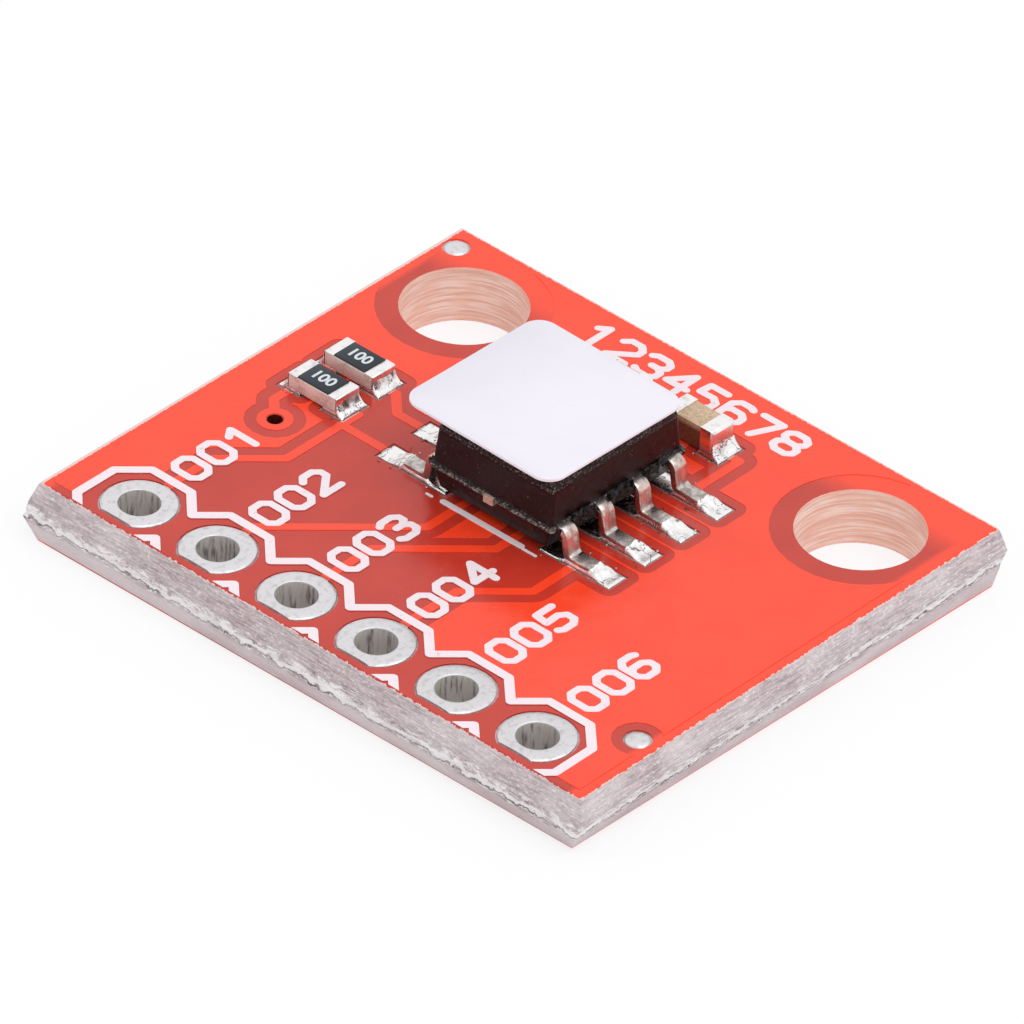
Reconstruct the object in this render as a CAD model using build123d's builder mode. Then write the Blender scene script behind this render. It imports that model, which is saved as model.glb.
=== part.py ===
from build123d import *
import math
import os

os.makedirs("parts", exist_ok=True)

# A humidity and temperature sensor on a small breakout board. The origin is the middle of the board's
# underside, +X runs from the header holes to the mounting holes, +Y along the header row, +Z up.

# Board blank, measured at the snapped web
board_x = 15.24
board_y = 17.78
board_t = 1.6
score_depth = 0.55
score_in_x = 0.27
score_in_y = 0.31
score_slip = 0.17  # the lower pair of grooves was cut this far along +Y
foil_t = 0.035
mask_t = 0.025  # over copper
plating_t = 0.03

# Header holes
pin_count = 6
pin_pitch = 2.54
pin_bore = 1.016
pin_edge = 1.27  # from the header edge of the board to the hole centres
ring_d = 1.88
ring_flat = 0.79  # from a hole centre to the trimmed side of its ring
ring_sides = 24

# Mounting holes
mount_d = 3.2
mount_edge = 2.62  # from the far edge of the board to the hole centres
mount_span = 12.7
mount_keepout = 0.58

# Copper rules
track_w = 0.254
clearance = 0.305
corner_flats = 16  # sides that stand for a full circle where etched or printed edges turn
pour_edge = 0.2  # from the scored edge of the top face to the ground area
mask_gap = 0.05
via_x, via_y = -1.62, 6.40
via_bore = 0.40
via_ring_d = 0.90
dot_d = 0.62
dot_keepout = 0.32
upper_dot_in_x, upper_dot_in_y = 0.96, 0.76  # from the board's edges at the mounting-hole corner
lower_dot_in_x, lower_dot_in_y = 2.84, 0.84  # from the edges at the ground corner of the header

# Track runs
data_turn_x, data_y = -3.80, 5.12
clock_turn_x, clock_y = -5.09, 0.93
clock_rise_y = 4.50
low_turn_x, low_y = -3.75, -0.80
high_turn_x, high_y = -3.56, -2.53
core_y = 2.53
supply_turn = 0.57
supply_side_x = -4.60

# Print
ink_t = 0.015
frame_w = 0.24
frame_half = 1.27
frame_corner = 0.635
frame_slip_x, frame_slip_y = -0.10, 0.06  # the print lies this far off the holes
mark_x = -1.21
mark_w = 0.17
mark_top, mark_foot = 1.42, -1.25
thin_w = 0.08

# Lands of the sensor
land_mid_x = 1.25
lead_pitch = 1.27
side_leads = 4
land_w = 0.60
land_in, land_out = 1.50, 3.70

# Moulded sensor package
sensor_x, sensor_y = 1.18, -0.08
body_x, body_y = 4.60, 3.80  # at the mould split
foot_x, foot_y = 4.46, 3.42  # underside
shoulder_x, shoulder_y = 4.42, 3.66  # below the top rim
rim_in = 0.07
rim_h = 0.22
body_corner = 0.09
flash_out = 0.09
flash_t = 0.09
standoff = 0.23
package_h = 1.89
well_x, well_y = 3.0, 2.1
well_corner = 0.25

# Lead frame
lead_t = 0.20
lead_w = 0.41
lead_rise = 0.80  # underside of a foot to the middle of the lead where it leaves the body
lead_span = 5.94
lead_foot = 0.72
lead_slope = 0.12
lead_bend = 0.20
finger_w = 0.34
finger_end = 0.82
finger_fan = 0.655
finger_turn = 1.50
paddle_x, paddle_y = 2.10, 1.20
tie_w = 0.30
tie_proud = 0.03

# Dies and bond wires
die_t = 0.25
humidity_die_x, humidity_die_y = 0.80, 0.90
signal_die_x, signal_die_y = 0.95, 0.95
die_gap = 0.10
wire_d = 0.04
wire_loop = 0.18
wire_in = 0.12  # from a die's edge to its bond pads

# Filter film
film_x, film_y = 4.78, 4.84
film_t = 0.08
film_round = 0.50
film_dx, film_dy = 0.075, 0.54  # from the package's middle
film_turn = -1.0

# Solder
bed_t = 0.025  # under leads and chip parts
joint_w = 0.54
joint_edge = 0.03
chip_joint_rise = 0.26

# Chip resistors and capacitors
chip_l = 1.60
chip_w = 0.80
resistor_h = 0.45
capacitor_h = 0.74
end_wrap = 0.30
end_t = 0.03
coat_t = 0.02
coat_in = 0.03
cap_wrap = 0.41
cap_skin = 0.03
cap_round = 0.07
chip_land_w = 0.90
chip_land_in, chip_land_out = 0.35, 1.05
resistor_xs = (-0.08, 1.19)
resistor_y = 6.27
capacitor_x = 4.98
capacitor_ys = (-1.21, 1.24)
capacitor_slips = (0.0, -0.13)  # how far along X each came to rest off its lands

# Levels and places that follow from the sizes above
core_foot = foil_t + mask_t
core_top = board_t - core_foot
foil_top = core_top + foil_t
pin_x = pin_edge - board_x / 2
pin_ys = [pin_pitch * ((pin_count - 1) / 2 - i) for i in range(pin_count)]
mount_x = board_x / 2 - mount_edge
land_xs = [land_mid_x + lead_pitch * (i - (side_leads - 1) / 2) for i in range(side_leads)]
lead_xs = [lead_pitch * (i - (side_leads - 1) / 2) for i in range(side_leads)]
land_mid = (land_in + land_out) / 2
foot_z = foil_top + bed_t
lead_z = foot_z + lead_rise
frame_z = lead_z + lead_t / 2
body_foot_z = board_t + standoff
body_top_z = body_foot_z + package_h
chip_land_mid = (chip_land_in + chip_land_out) / 2
pour_x = board_x - 2 * (score_in_x + pour_edge)
pour_y = board_y - 2 * (score_in_y + pour_edge)

# Signal tracks on the top face: data, clock, the two alarm lines, supply and the core decoupling
top_tracks = [
    [
        (pin_x, pin_ys[0]),
        (data_turn_x, pin_ys[0]),
        (data_turn_x + pin_ys[0] - data_y, data_y),
        (resistor_xs[0], data_y),
        (resistor_xs[0], resistor_y - chip_land_mid),
    ],
    [(land_xs[0], data_y), (land_xs[0], land_mid)],
    [
        (pin_x, pin_ys[1]),
        (clock_turn_x, pin_ys[1]),
        (clock_turn_x + pin_ys[1] - clock_y, clock_y),
        (land_xs[1], clock_y),
        (land_xs[1], clock_rise_y),
        (resistor_xs[1], clock_rise_y + resistor_xs[1] - land_xs[1]),
        (resistor_xs[1], resistor_y - chip_land_mid),
    ],
    [
        (pin_x, pin_ys[2]),
        (low_turn_x, pin_ys[2]),
        (low_turn_x + pin_ys[2] - low_y, low_y),
        (land_xs[1], low_y),
        (land_xs[1], -land_mid),
    ],
    [
        (pin_x, pin_ys[3]),
        (high_turn_x, pin_ys[3]),
        (high_turn_x + pin_ys[3] - high_y, high_y),
        (land_xs[0], high_y),
    ],
    [
        (via_x, via_y),
        (via_x + supply_turn, resistor_y + chip_land_mid),
        (resistor_xs[1], resistor_y + chip_land_mid),
    ],
    [
        (land_xs[3], high_y),
        (capacitor_x, high_y),
        (capacitor_x, capacitor_ys[0] - chip_land_mid),
    ],
    [
        (land_xs[3], core_y),
        (capacitor_x, core_y),
        (capacitor_x, capacitor_ys[1] + chip_land_mid),
    ],
]
supply_track = [
    (via_x, via_y),
    (supply_side_x, via_y + supply_side_x - via_x),
    (supply_side_x, pin_ys[4] - pin_x + supply_side_x),
    (pin_x, pin_ys[4]),
]
ground_lands = [
    (land_xs[2], land_mid, land_w, land_out - land_in),
    (capacitor_x, capacitor_ys[0] + chip_land_mid, chip_land_w, chip_land_out - chip_land_in),
    (capacitor_x, capacitor_ys[1] - chip_land_mid, chip_land_w, chip_land_out - chip_land_in),
]
signal_lands = (
    [(x, -land_mid, land_w, land_out - land_in) for x in land_xs]
    + [(x, land_mid, land_w, land_out - land_in) for i, x in enumerate(land_xs) if i != 2]
    + [
        (x, resistor_y + s * chip_land_mid, chip_land_w, chip_land_out - chip_land_in)
        for x in resistor_xs
        for s in (-1, 1)
    ]
    + [
        (capacitor_x, capacitor_ys[0] - chip_land_mid, chip_land_w, chip_land_out - chip_land_in),
        (capacitor_x, capacitor_ys[1] + chip_land_mid, chip_land_w, chip_land_out - chip_land_in),
    ]
)


def track(points, width):
    """A run of copper or ink through the points, in the sketch that is open.

    Each joint is drawn with corner_flats sides, so that runs at 45 degrees meet it corner to corner.
    """
    for start, end in zip(points, points[1:]):
        run = Vector(*end) - Vector(*start)
        with Locations((Vector(*start) + Vector(*end)) * 0.5):
            Rectangle(run.length, width, rotation=math.degrees(math.atan2(run.Y, run.X)))
    with Locations(*points):
        RegularPolygon(width / 2, corner_flats)


def lands(places, grow=0.0, blunt=False):
    """Rectangular lands with each side moved out by grow, sharp or with blunted corners."""
    for x, y, w, h in places:
        if not blunt:
            with Locations((x, y)):
                Rectangle(w + 2 * grow, h + 2 * grow)
        else:
            with Locations((x, y)):
                Rectangle(w + 2 * grow, h)
                Rectangle(w, h + 2 * grow)
            with Locations(*[(x + i * w / 2, y + j * h / 2) for i in (-1, 1) for j in (-1, 1)]):
                RegularPolygon(grow, corner_flats)


# The scored and snapped blank that every layer of the board is a slice of
with BuildPart() as blank:
    with BuildSketch(Plane.XZ):
        with BuildLine():
            Polyline(
                (0, 0),
                (board_x / 2 - score_in_x, 0),
                (board_x / 2, score_depth),
                (board_x / 2, board_t - score_depth),
                (board_x / 2 - score_in_x, board_t),
                (0, board_t),
            )
            mirror(about=Plane.YZ)
        make_face()
    extrude(amount=board_y, both=True)
    with BuildSketch(Plane.YZ):
        with BuildLine():
            Polyline(
                (score_in_y + score_slip - board_y / 2, 0),
                (score_slip - board_y / 2, score_depth),
                (-board_y / 2, board_t - score_depth),
                (score_in_y - board_y / 2, board_t),
                (board_y / 2 - score_in_y, board_t),
                (board_y / 2, board_t - score_depth),
                (board_y / 2 + score_slip, score_depth),
                (board_y / 2 + score_slip - score_in_y, 0),
                close=True,
            )
        make_face()
    extrude(amount=board_x, both=True, mode=Mode.INTERSECT)

pin_places = [(pin_x, y) for y in pin_ys]
mount_places = [(mount_x, -mount_span / 2), (mount_x, mount_span / 2)]
dot_places = [
    (lower_dot_in_x - board_x / 2, lower_dot_in_y - board_y / 2),
    (board_x / 2 - upper_dot_in_x, board_y / 2 - upper_dot_in_y),
]

# Glass-epoxy core
with BuildPart() as board_laminate:
    add(blank.part)
    split(bisect_by=Plane.XY.offset(core_top), keep=Keep.BOTTOM)
    split(bisect_by=Plane.XY.offset(core_foot), keep=Keep.TOP)
    with BuildSketch():
        with Locations(*pin_places):
            RegularPolygon(pin_bore / 2 + plating_t, corner_flats)
        with Locations(*mount_places):
            Circle(mount_d / 2)
        with Locations((via_x, via_y)):
            RegularPolygon(via_bore / 2 + plating_t, corner_flats)
    extrude(amount=board_t, mode=Mode.SUBTRACT)

# Outline of a ring, trimmed beside the board's edge: the foils stop at it and the tinning fills it
with BuildSketch(mode=Mode.PRIVATE) as ring_outline:
    RegularPolygon(ring_d / 2, ring_sides)
    with Locations((-ring_flat - ring_d / 2, 0)):
        Rectangle(ring_d, 2 * ring_d, mode=Mode.SUBTRACT)

# Plated header hole: a barrel through the core with a tinned ring on each face, and the bore
with BuildPart() as plated_hole:
    with BuildSketch():
        RegularPolygon(pin_bore / 2 + plating_t, corner_flats)
    extrude(amount=board_t)
    with BuildSketch(Plane.XY, Plane.XY.offset(core_top)):
        add(ring_outline.sketch)
    extrude(amount=core_foot)
    with BuildSketch():
        Circle(pin_bore / 2)
    extrude(amount=board_t, mode=Mode.SUBTRACT)

header_holes = []
for x, y in pin_places:
    with BuildPart() as header_hole:
        with Locations((x, y)):
            add(plated_hole.part)
    header_holes.append(header_hole)

# Plated barrel between the top supply track and the one below
with BuildPart() as via_barrel:
    with BuildSketch(Plane(origin=(via_x, via_y, mask_t))):
        RegularPolygon(via_bore / 2 + plating_t, corner_flats)
        RegularPolygon(via_bore / 2, corner_flats, mode=Mode.SUBTRACT)
    extrude(amount=foil_top - mask_t)

# Everything on the top face that the ground area keeps away from
with BuildSketch() as top_keepout:
    for points in top_tracks:
        track(points, track_w + 2 * clearance)
    lands(signal_lands, clearance, blunt=True)
    with Locations((via_x, via_y)):
        RegularPolygon(via_ring_d / 2 + clearance, corner_flats)
    with Locations(*mount_places):
        RegularPolygon(mount_d / 2 + mount_keepout, 2 * corner_flats)
    with Locations(*dot_places):
        RegularPolygon(dot_d / 2 + dot_keepout, corner_flats)
    with Locations((-board_x / 2, 0)):
        Rectangle(2 * pin_edge, (pin_count - 1) * pin_pitch + 2 * frame_half)
with BuildSketch() as header_keepout:
    Rectangle(2 * frame_half, 2 * frame_half)
    chamfer(header_keepout.vertices(), frame_corner)
with BuildSketch() as top_signals:
    for points in top_tracks:
        track(points, track_w)
    lands(signal_lands)
    with Locations((via_x, via_y)):
        RegularPolygon(via_ring_d / 2, corner_flats)

# The ground area, without the islands that no ground lead reaches, and the signal runs
with BuildSketch() as ground:
    Rectangle(pour_x, pour_y)
    add(top_keepout.sketch, mode=Mode.SUBTRACT)
    with Locations(*pin_places):
        add(header_keepout.sketch, mode=Mode.SUBTRACT)
    track([(land_xs[2], land_mid), (land_xs[2], 0)], track_w)
    lands(ground_lands)
with BuildPart() as top_copper:
    with BuildSketch(Plane.XY.offset(core_top)):
        add(ground.sketch.faces().sort_by(SortBy.AREA)[-1])
        add(top_signals.sketch)
        with Locations(*pin_places):
            add(ring_outline.sketch, mode=Mode.SUBTRACT)
        with Locations((via_x, via_y)):
            RegularPolygon(via_bore / 2 + plating_t, corner_flats, mode=Mode.SUBTRACT)
    extrude(amount=foil_t)

# The hidden face: ground area, supply track, and four spokes to the ground hole
with BuildSketch() as bottom_keepout:
    track(supply_track, track_w + 2 * clearance)
    with Locations((via_x, via_y)):
        RegularPolygon(via_ring_d / 2 + clearance, corner_flats)
    with Locations(*pin_places):
        RegularPolygon(ring_d / 2 + clearance, corner_flats)
    with Locations(*mount_places):
        RegularPolygon(mount_d / 2 + mount_keepout, corner_flats)
with BuildPart() as bottom_copper:
    with BuildSketch(Plane.XY.offset(mask_t)):
        with Locations((0, score_slip / 2)):
            Rectangle(pour_x, pour_y - score_slip)
        add(bottom_keepout.sketch, mode=Mode.SUBTRACT)
        track(supply_track, track_w)
        reach = ring_d / 2 + clearance + track_w
        track([(pin_x, pin_ys[-1] - reach), (pin_x, pin_ys[-1] + reach)], 2 * track_w)
        track([(pin_x, pin_ys[-1]), (pin_x + reach, pin_ys[-1])], 2 * track_w)
        with Locations((via_x, via_y)):
            RegularPolygon(via_ring_d / 2, corner_flats)
            RegularPolygon(via_bore / 2 + plating_t, corner_flats, mode=Mode.SUBTRACT)
        with Locations(*pin_places):
            add(ring_outline.sketch, mode=Mode.SUBTRACT)
    extrude(amount=foil_t)

# Solder masks: a film over the foil, let down to the core along the board's edges, with an opening
# round every ring, land and dot
with BuildSketch() as mask_holes:
    with Locations(*pin_places):
        RegularPolygon(ring_d / 2 + mask_gap, ring_sides)
    with Locations((pin_x - ring_flat - mask_gap - ring_d, 0)):
        Rectangle(2 * ring_d, board_y, mode=Mode.SUBTRACT)
    with Locations(*mount_places):
        Circle(mount_d / 2)
    with Locations((via_x, via_y)):
        RegularPolygon(via_bore / 2, corner_flats)
with BuildPart() as top_solder_mask:
    add(blank.part)
    split(bisect_by=Plane.XY.offset(core_top), keep=Keep.TOP)
    with BuildSketch(Plane.XY.offset(core_top)):
        Rectangle(pour_x, pour_y)
    extrude(amount=foil_t, mode=Mode.SUBTRACT)
    with BuildSketch(Plane.XY.offset(core_top)):
        add(mask_holes.sketch)
        lands(signal_lands + ground_lands, mask_gap)
        with Locations(*dot_places):
            RegularPolygon(dot_d / 2 + mask_gap, corner_flats)
    extrude(amount=board_t, mode=Mode.SUBTRACT)
with BuildPart() as bottom_solder_mask:
    add(blank.part)
    split(bisect_by=Plane.XY.offset(core_foot), keep=Keep.BOTTOM)
    with BuildSketch(Plane.XY.offset(mask_t)):
        with Locations((0, score_slip / 2)):
            Rectangle(pour_x, pour_y - score_slip)
    extrude(amount=foil_t, mode=Mode.SUBTRACT)
    with BuildSketch():
        add(mask_holes.sketch)
    extrude(amount=core_foot, mode=Mode.SUBTRACT)

# Tinned dots for the placement camera
dots = []
for x, y in dot_places:
    with BuildPart() as dot:
        with BuildSketch(Plane(origin=(x, y, core_top))):
            Circle(dot_d / 2)
        extrude(amount=foil_t + mask_t / 2)
    dots.append(dot)

# White print: the frame round the header row and the mark beside the sensor
frame_x = pin_x + frame_slip_x
frame_run = []
for y in [pin_y + frame_slip_y for pin_y in pin_ys]:
    frame_run += [
        (frame_x + frame_half - frame_corner, y + frame_half),
        (frame_x + frame_half, y + frame_half - frame_corner),
        (frame_x + frame_half, y - frame_half + frame_corner),
    ]
frame_run.append((frame_x + frame_half - frame_corner, pin_ys[-1] + frame_slip_y - frame_half))
frame_run += [(2 * frame_x - x, y) for x, y in reversed(frame_run)]
frame_run.append(frame_run[0])
with BuildPart() as top_silkscreen:
    with BuildSketch(Plane.XY.offset(board_t)):
        track(frame_run, frame_w)
        Rectangle(board_x - 2 * score_in_x, board_y - 2 * score_in_y, mode=Mode.INTERSECT)
        track([(mark_x, mark_top - mark_w / 2), (mark_x, mark_foot + mark_w / 2)], mark_w)
        thin_x = mark_x - mark_w / 2 + thin_w / 2
        track([(thin_x, mark_foot), (thin_x, mark_foot - 5 * thin_w)], thin_w)
        track([(thin_x, mark_top + 3 * thin_w), (thin_x, mark_top + 5 * thin_w)], thin_w)
    extrude(amount=ink_t)

# Sensor package, built about its own middle: level sections of the mould, then the well
package = Plane(origin=(sensor_x, sensor_y, 0))


def level(z):
    """The package's own level plane at a height above the board's underside."""
    return package.offset(z)


with BuildPart() as die_paddle:
    with BuildSketch(level(frame_z - lead_t)):
        Rectangle(paddle_x, paddle_y)
        Rectangle(body_x + 2 * (flash_out + tie_proud), tie_w)
    extrude(amount=lead_t)

leads = []
for side in (-1, 1):
    for i, x in enumerate(lead_xs):
        tip = lead_span / 2
        fan = finger_fan * (-1 if i == 0 else 1 if i == side_leads - 1 else 0)
        lead_mid_plane = Plane(origin=(sensor_x + x, sensor_y, 0), x_dir=(0, side, 0), z_dir=(side, 0, 0))
        with BuildPart() as lead:
            # formed outside the body
            with BuildLine(lead_mid_plane) as spine:
                FilletPolyline(
                    (finger_turn, lead_z),
                    (tip - lead_foot - lead_slope, lead_z),
                    (tip - lead_foot, foot_z + lead_t / 2),
                    (tip, foot_z + lead_t / 2),
                    radius=lead_bend,
                )
            with BuildSketch(
                Plane(
                    origin=(sensor_x + x, sensor_y + side * finger_turn, lead_z),
                    x_dir=(1, 0, 0),
                    z_dir=(0, side, 0),
                )
            ):
                Rectangle(lead_w, lead_t)
            sweep(path=spine.wire())
            # flat finger inside it, fanned in on the outer leads
            with BuildSketch(level(frame_z - lead_t)):
                with BuildLine():
                    Polyline(
                        (x - lead_w / 2, side * finger_turn),
                        (x - fan - finger_w / 2, side * (finger_end + finger_w / 2)),
                        (x - fan - finger_w / 2, side * finger_end),
                        (x - fan + finger_w / 2, side * finger_end),
                        (x - fan + finger_w / 2, side * (finger_end + finger_w / 2)),
                        (x + lead_w / 2, side * finger_turn),
                        close=True,
                    )
                make_face()
            extrude(amount=lead_t)
        leads.append(lead)


def mould_section(z, x, y):
    """A level section of the package with its four upright corners taken off."""
    with BuildSketch(level(z), mode=Mode.PRIVATE) as section:
        Rectangle(x, y)
        chamfer(section.vertices(), body_corner)
    return section.sketch


rim_z = body_top_z - rim_h
split_z = frame_z - flash_t
with BuildPart() as sensor_body:
    loft(
        [mould_section(body_foot_z, foot_x, foot_y).face(), mould_section(split_z, body_x, body_y).face()]
    )
    loft(
        [mould_section(split_z, body_x, body_y).face(), mould_section(rim_z, shoulder_x, shoulder_y).face()]
    )
    loft(
        [
            mould_section(rim_z, shoulder_x, shoulder_y).face(),
            mould_section(body_top_z, shoulder_x - 2 * rim_in, shoulder_y - 2 * rim_in).face(),
        ]
    )
    extrude(mould_section(split_z, body_x + 2 * flash_out, body_y + 2 * flash_out), amount=flash_t)
    with BuildSketch(level(frame_z)) as well:
        Rectangle(well_x, well_y)
        chamfer(well.vertices(), well_corner)
    extrude(amount=package_h, mode=Mode.SUBTRACT)
    add(die_paddle.part, mode=Mode.SUBTRACT)
    for lead in leads:
        add(lead.part, mode=Mode.SUBTRACT)

# The two dies, side by side on the paddle
humidity_mid = -(die_gap + humidity_die_x) / 2
signal_mid = (die_gap + signal_die_x) / 2
with BuildPart() as humidity_die:
    with BuildSketch(level(frame_z)):
        with Locations((humidity_mid, 0)):
            Rectangle(humidity_die_x, humidity_die_y)
    extrude(amount=die_t)
with BuildPart() as signal_die:
    with BuildSketch(level(frame_z)):
        with Locations((signal_mid, 0)):
            Rectangle(signal_die_x, signal_die_y)
    extrude(amount=die_t)

# Bond wires: from die to die, and from the signal die to the fingers of the inner and outer leads
bonds = []
for k in (-1, 0, 1):
    y = k * humidity_die_y / 4
    bonds.append(((-die_gap / 2 - wire_in, y, die_t), (die_gap / 2 + wire_in, y, die_t)))
for side in (-1, 1):
    for i in (1, 2, 3):
        fan = finger_fan if i == side_leads - 1 else 0
        pad_x = signal_mid + (i - 2) * signal_die_x / 3
        start = (pad_x, side * (signal_die_y / 2 - wire_in), die_t)
        end = (lead_xs[i] - fan, side * (finger_end + finger_w / 2), 0)
        bonds.append((start, end))
with BuildPart() as bond_wires:
    for start, end in bonds:
        a = Vector(*start) + Vector(sensor_x, sensor_y, frame_z)
        b = Vector(*end) + Vector(sensor_x, sensor_y, frame_z)
        crest = a.Z + wire_loop
        with BuildLine() as loop:
            bend = a + (b - a) * 0.2
            Polyline(a, (a.X, a.Y, crest - wire_d), (bend.X, bend.Y, crest), b)
        with BuildSketch(Plane(origin=a)):
            RegularPolygon(wire_d / 2, 6)
        sweep(path=loop.wire(), transition=Transition.RIGHT)

# Filter film, stuck on by hand: a little off the package's middle and not quite square to it
film_angle = math.radians(film_turn)
with BuildPart() as filter_film:
    with BuildSketch(
        Plane(
            origin=(sensor_x + film_dx, sensor_y + film_dy, body_top_z),
            x_dir=(math.cos(film_angle), math.sin(film_angle), 0),
        )
    ):
        RectangleRounded(film_x, film_y, film_round)
    extrude(amount=film_t)

# Solder joint of each lead: a toe that runs out over the land, thin walls along the foot and a heel
joints = []
for n, lead in enumerate(leads):
    side = -1 if n < side_leads else 1
    tip = lead_span / 2 + side * sensor_y
    heel = tip - lead_foot
    with BuildPart() as joint:
        with BuildSketch(
            Plane(
                origin=(land_xs[n % side_leads], 0, foil_top),
                x_dir=(0, side, 0),
                z_dir=(side, 0, 0),
            )
        ):
            with BuildLine():
                Polyline(
                    (heel - lead_t, bed_t + 0.9 * lead_t),
                    (heel - 0.6 * lead_t, bed_t + lead_t),
                    (tip - lead_t / 4, bed_t + 0.8 * lead_t),
                )
                ThreePointArc(
                    (tip - lead_t / 4, bed_t + 0.8 * lead_t),
                    ((tip + land_out) / 2 - 0.2 * lead_t, bed_t + 0.35 * lead_t),
                    (land_out - joint_edge, bed_t * 0.8),
                )
                Polyline(
                    (land_out - joint_edge, bed_t * 0.8),
                    (land_out - joint_edge, 0),
                    (land_in + joint_edge, 0),
                    (land_in + joint_edge, bed_t * 0.8),
                )
                ThreePointArc(
                    (land_in + joint_edge, bed_t * 0.8),
                    ((land_in + heel) / 2, bed_t + 0.25 * lead_t),
                    (heel - lead_t, bed_t + 0.9 * lead_t),
                )
            make_face()
        extrude(amount=joint_w / 2, both=True)
        add(lead.part, mode=Mode.SUBTRACT)
    joints.append(joint)


def chip_plane(x, y, z):
    """An upright plane through a chip part, with the part's long axis across and up as up."""
    return Plane(origin=(x, y, z), x_dir=(0, 1, 0), z_dir=(1, 0, 0))


# Chip resistors: ceramic, printed coat between the two wrapped ends
resistors = []
for x in resistor_xs:
    side_view = chip_plane(x, resistor_y, foil_top + bed_t)
    lip = chip_l / 2 - end_wrap
    with BuildPart() as ceramic:
        with BuildSketch(side_view):
            with BuildLine():
                Polyline(
                    (chip_l / 2 - end_t, end_t),
                    (chip_l / 2 - end_t, resistor_h - end_t),
                    (end_t - chip_l / 2, resistor_h - end_t),
                    (end_t - chip_l / 2, end_t),
                    close=True,
                )
            make_face()
        extrude(amount=chip_w / 2, both=True)
    with BuildPart() as ends:
        with BuildSketch(side_view):
            with BuildLine():
                Polyline(
                    (lip, 0),
                    (chip_l / 2 - end_t, 0),
                    (chip_l / 2, end_t),
                    (chip_l / 2, resistor_h - end_t),
                    (chip_l / 2 - end_t, resistor_h),
                    (lip, resistor_h),
                    (lip, resistor_h - end_t),
                    (chip_l / 2 - end_t, resistor_h - end_t),
                    (chip_l / 2 - end_t, end_t),
                    (lip, end_t),
                    close=True,
                )
            make_face()
        extrude(amount=chip_w / 2, both=True)
        mirror(about=Plane.XZ.offset(-resistor_y))
    with BuildPart() as coat:
        with BuildSketch(Plane(origin=(x, resistor_y, foil_top + bed_t + resistor_h - end_t))):
            Rectangle(chip_w - 2 * coat_in, 2 * lip)
        extrude(amount=coat_t + end_t)
        chamfer(coat.edges().group_by(Axis.Z)[-1].filter_by(Axis.Y), coat_t)
    resistors.append((ceramic, ends, coat))

# Chip capacitors: fired ceramic block with a cap of plated metal over each end
capacitors = []
for y, slip in zip(capacitor_ys, capacitor_slips):
    seat = Plane(origin=(capacitor_x + slip, y, foil_top + bed_t))
    with BuildPart() as ceramic:
        with BuildSketch(seat.offset(cap_skin)):
            Rectangle(chip_w - 2 * cap_skin, chip_l - 2 * (cap_skin + cap_round))
        extrude(amount=capacitor_h - 2 * cap_skin)
    with BuildPart() as ends:
        for s in (-1, 1):
            with BuildSketch(seat):
                with Locations((0, s * (chip_l - cap_wrap) / 2)):
                    Rectangle(chip_w, cap_wrap)
            extrude(amount=capacitor_h)
        outer = ends.faces().sort_by(Axis.Y)
        chamfer(outer[0].edges() + outer[-1].edges(), cap_round)
        add(ceramic.part, mode=Mode.SUBTRACT)
    capacitors.append((ceramic, ends))


def chip_joints(x, y):
    """The two solder fillets of a chip part, a concave slope from the land up each end."""
    with BuildPart() as fillets:
        with BuildSketch(chip_plane(x, y, foil_top)):
            with BuildLine():
                Polyline(
                    (chip_land_in + joint_edge, 0),
                    (chip_land_in + joint_edge, bed_t),
                    (chip_l / 2, bed_t),
                    (chip_l / 2, bed_t + chip_joint_rise),
                )
                ThreePointArc(
                    (chip_l / 2, bed_t + chip_joint_rise),
                    ((chip_l / 2 + chip_land_out) / 2 - joint_edge, bed_t + chip_joint_rise * 0.35),
                    (chip_land_out - joint_edge, bed_t * 0.8),
                )
                Polyline(
                    (chip_land_out - joint_edge, bed_t * 0.8),
                    (chip_land_out - joint_edge, 0),
                    (chip_land_in + joint_edge, 0),
                )
            make_face()
        extrude(amount=chip_w / 2, both=True)
        mirror(about=Plane.XZ.offset(-y))
    return fillets


named = [
    ("board_laminate", board_laminate),
    ("top_copper", top_copper),
    ("bottom_copper", bottom_copper),
    ("top_solder_mask", top_solder_mask),
    ("bottom_solder_mask", bottom_solder_mask),
    ("top_silkscreen", top_silkscreen),
    ("via_barrel", via_barrel),
    ("fiducial_lower", dots[0]),
    ("fiducial_upper", dots[1]),
    ("sensor_body", sensor_body),
    ("die_paddle", die_paddle),
    ("humidity_die", humidity_die),
    ("signal_die", signal_die),
    ("bond_wires", bond_wires),
    ("filter_film", filter_film),
]
named += [(f"header_hole_{n + 1}", hole) for n, hole in enumerate(header_holes)]
named += [(f"sensor_lead_{n + 1}", lead) for n, lead in enumerate(leads)]
named += [(f"lead_solder_{n + 1}", joint) for n, joint in enumerate(joints)]
for n, (ceramic, ends, coat) in enumerate(resistors):
    named += [
        (f"resistor_{n + 1}_ceramic", ceramic),
        (f"resistor_{n + 1}_ends", ends),
        (f"resistor_{n + 1}_coat", coat),
        (f"resistor_{n + 1}_solder", chip_joints(resistor_xs[n], resistor_y)),
    ]
for n, (ceramic, ends) in enumerate(capacitors):
    named += [
        (f"capacitor_{n + 1}_ceramic", ceramic),
        (f"capacitor_{n + 1}_ends", ends),
        (f"capacitor_{n + 1}_solder", chip_joints(capacitor_x + capacitor_slips[n] / 2, capacitor_ys[n])),
    ]
for name, piece in named:
    piece.part.label = name
    export_step(piece.part, f"parts/{name}.step")
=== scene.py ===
import math
import random

import bmesh
import bpy
from bpy.props import FloatProperty, FloatVectorProperty, IntProperty, PointerProperty, StringProperty
from mathutils import Matrix, Vector, noise


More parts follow.
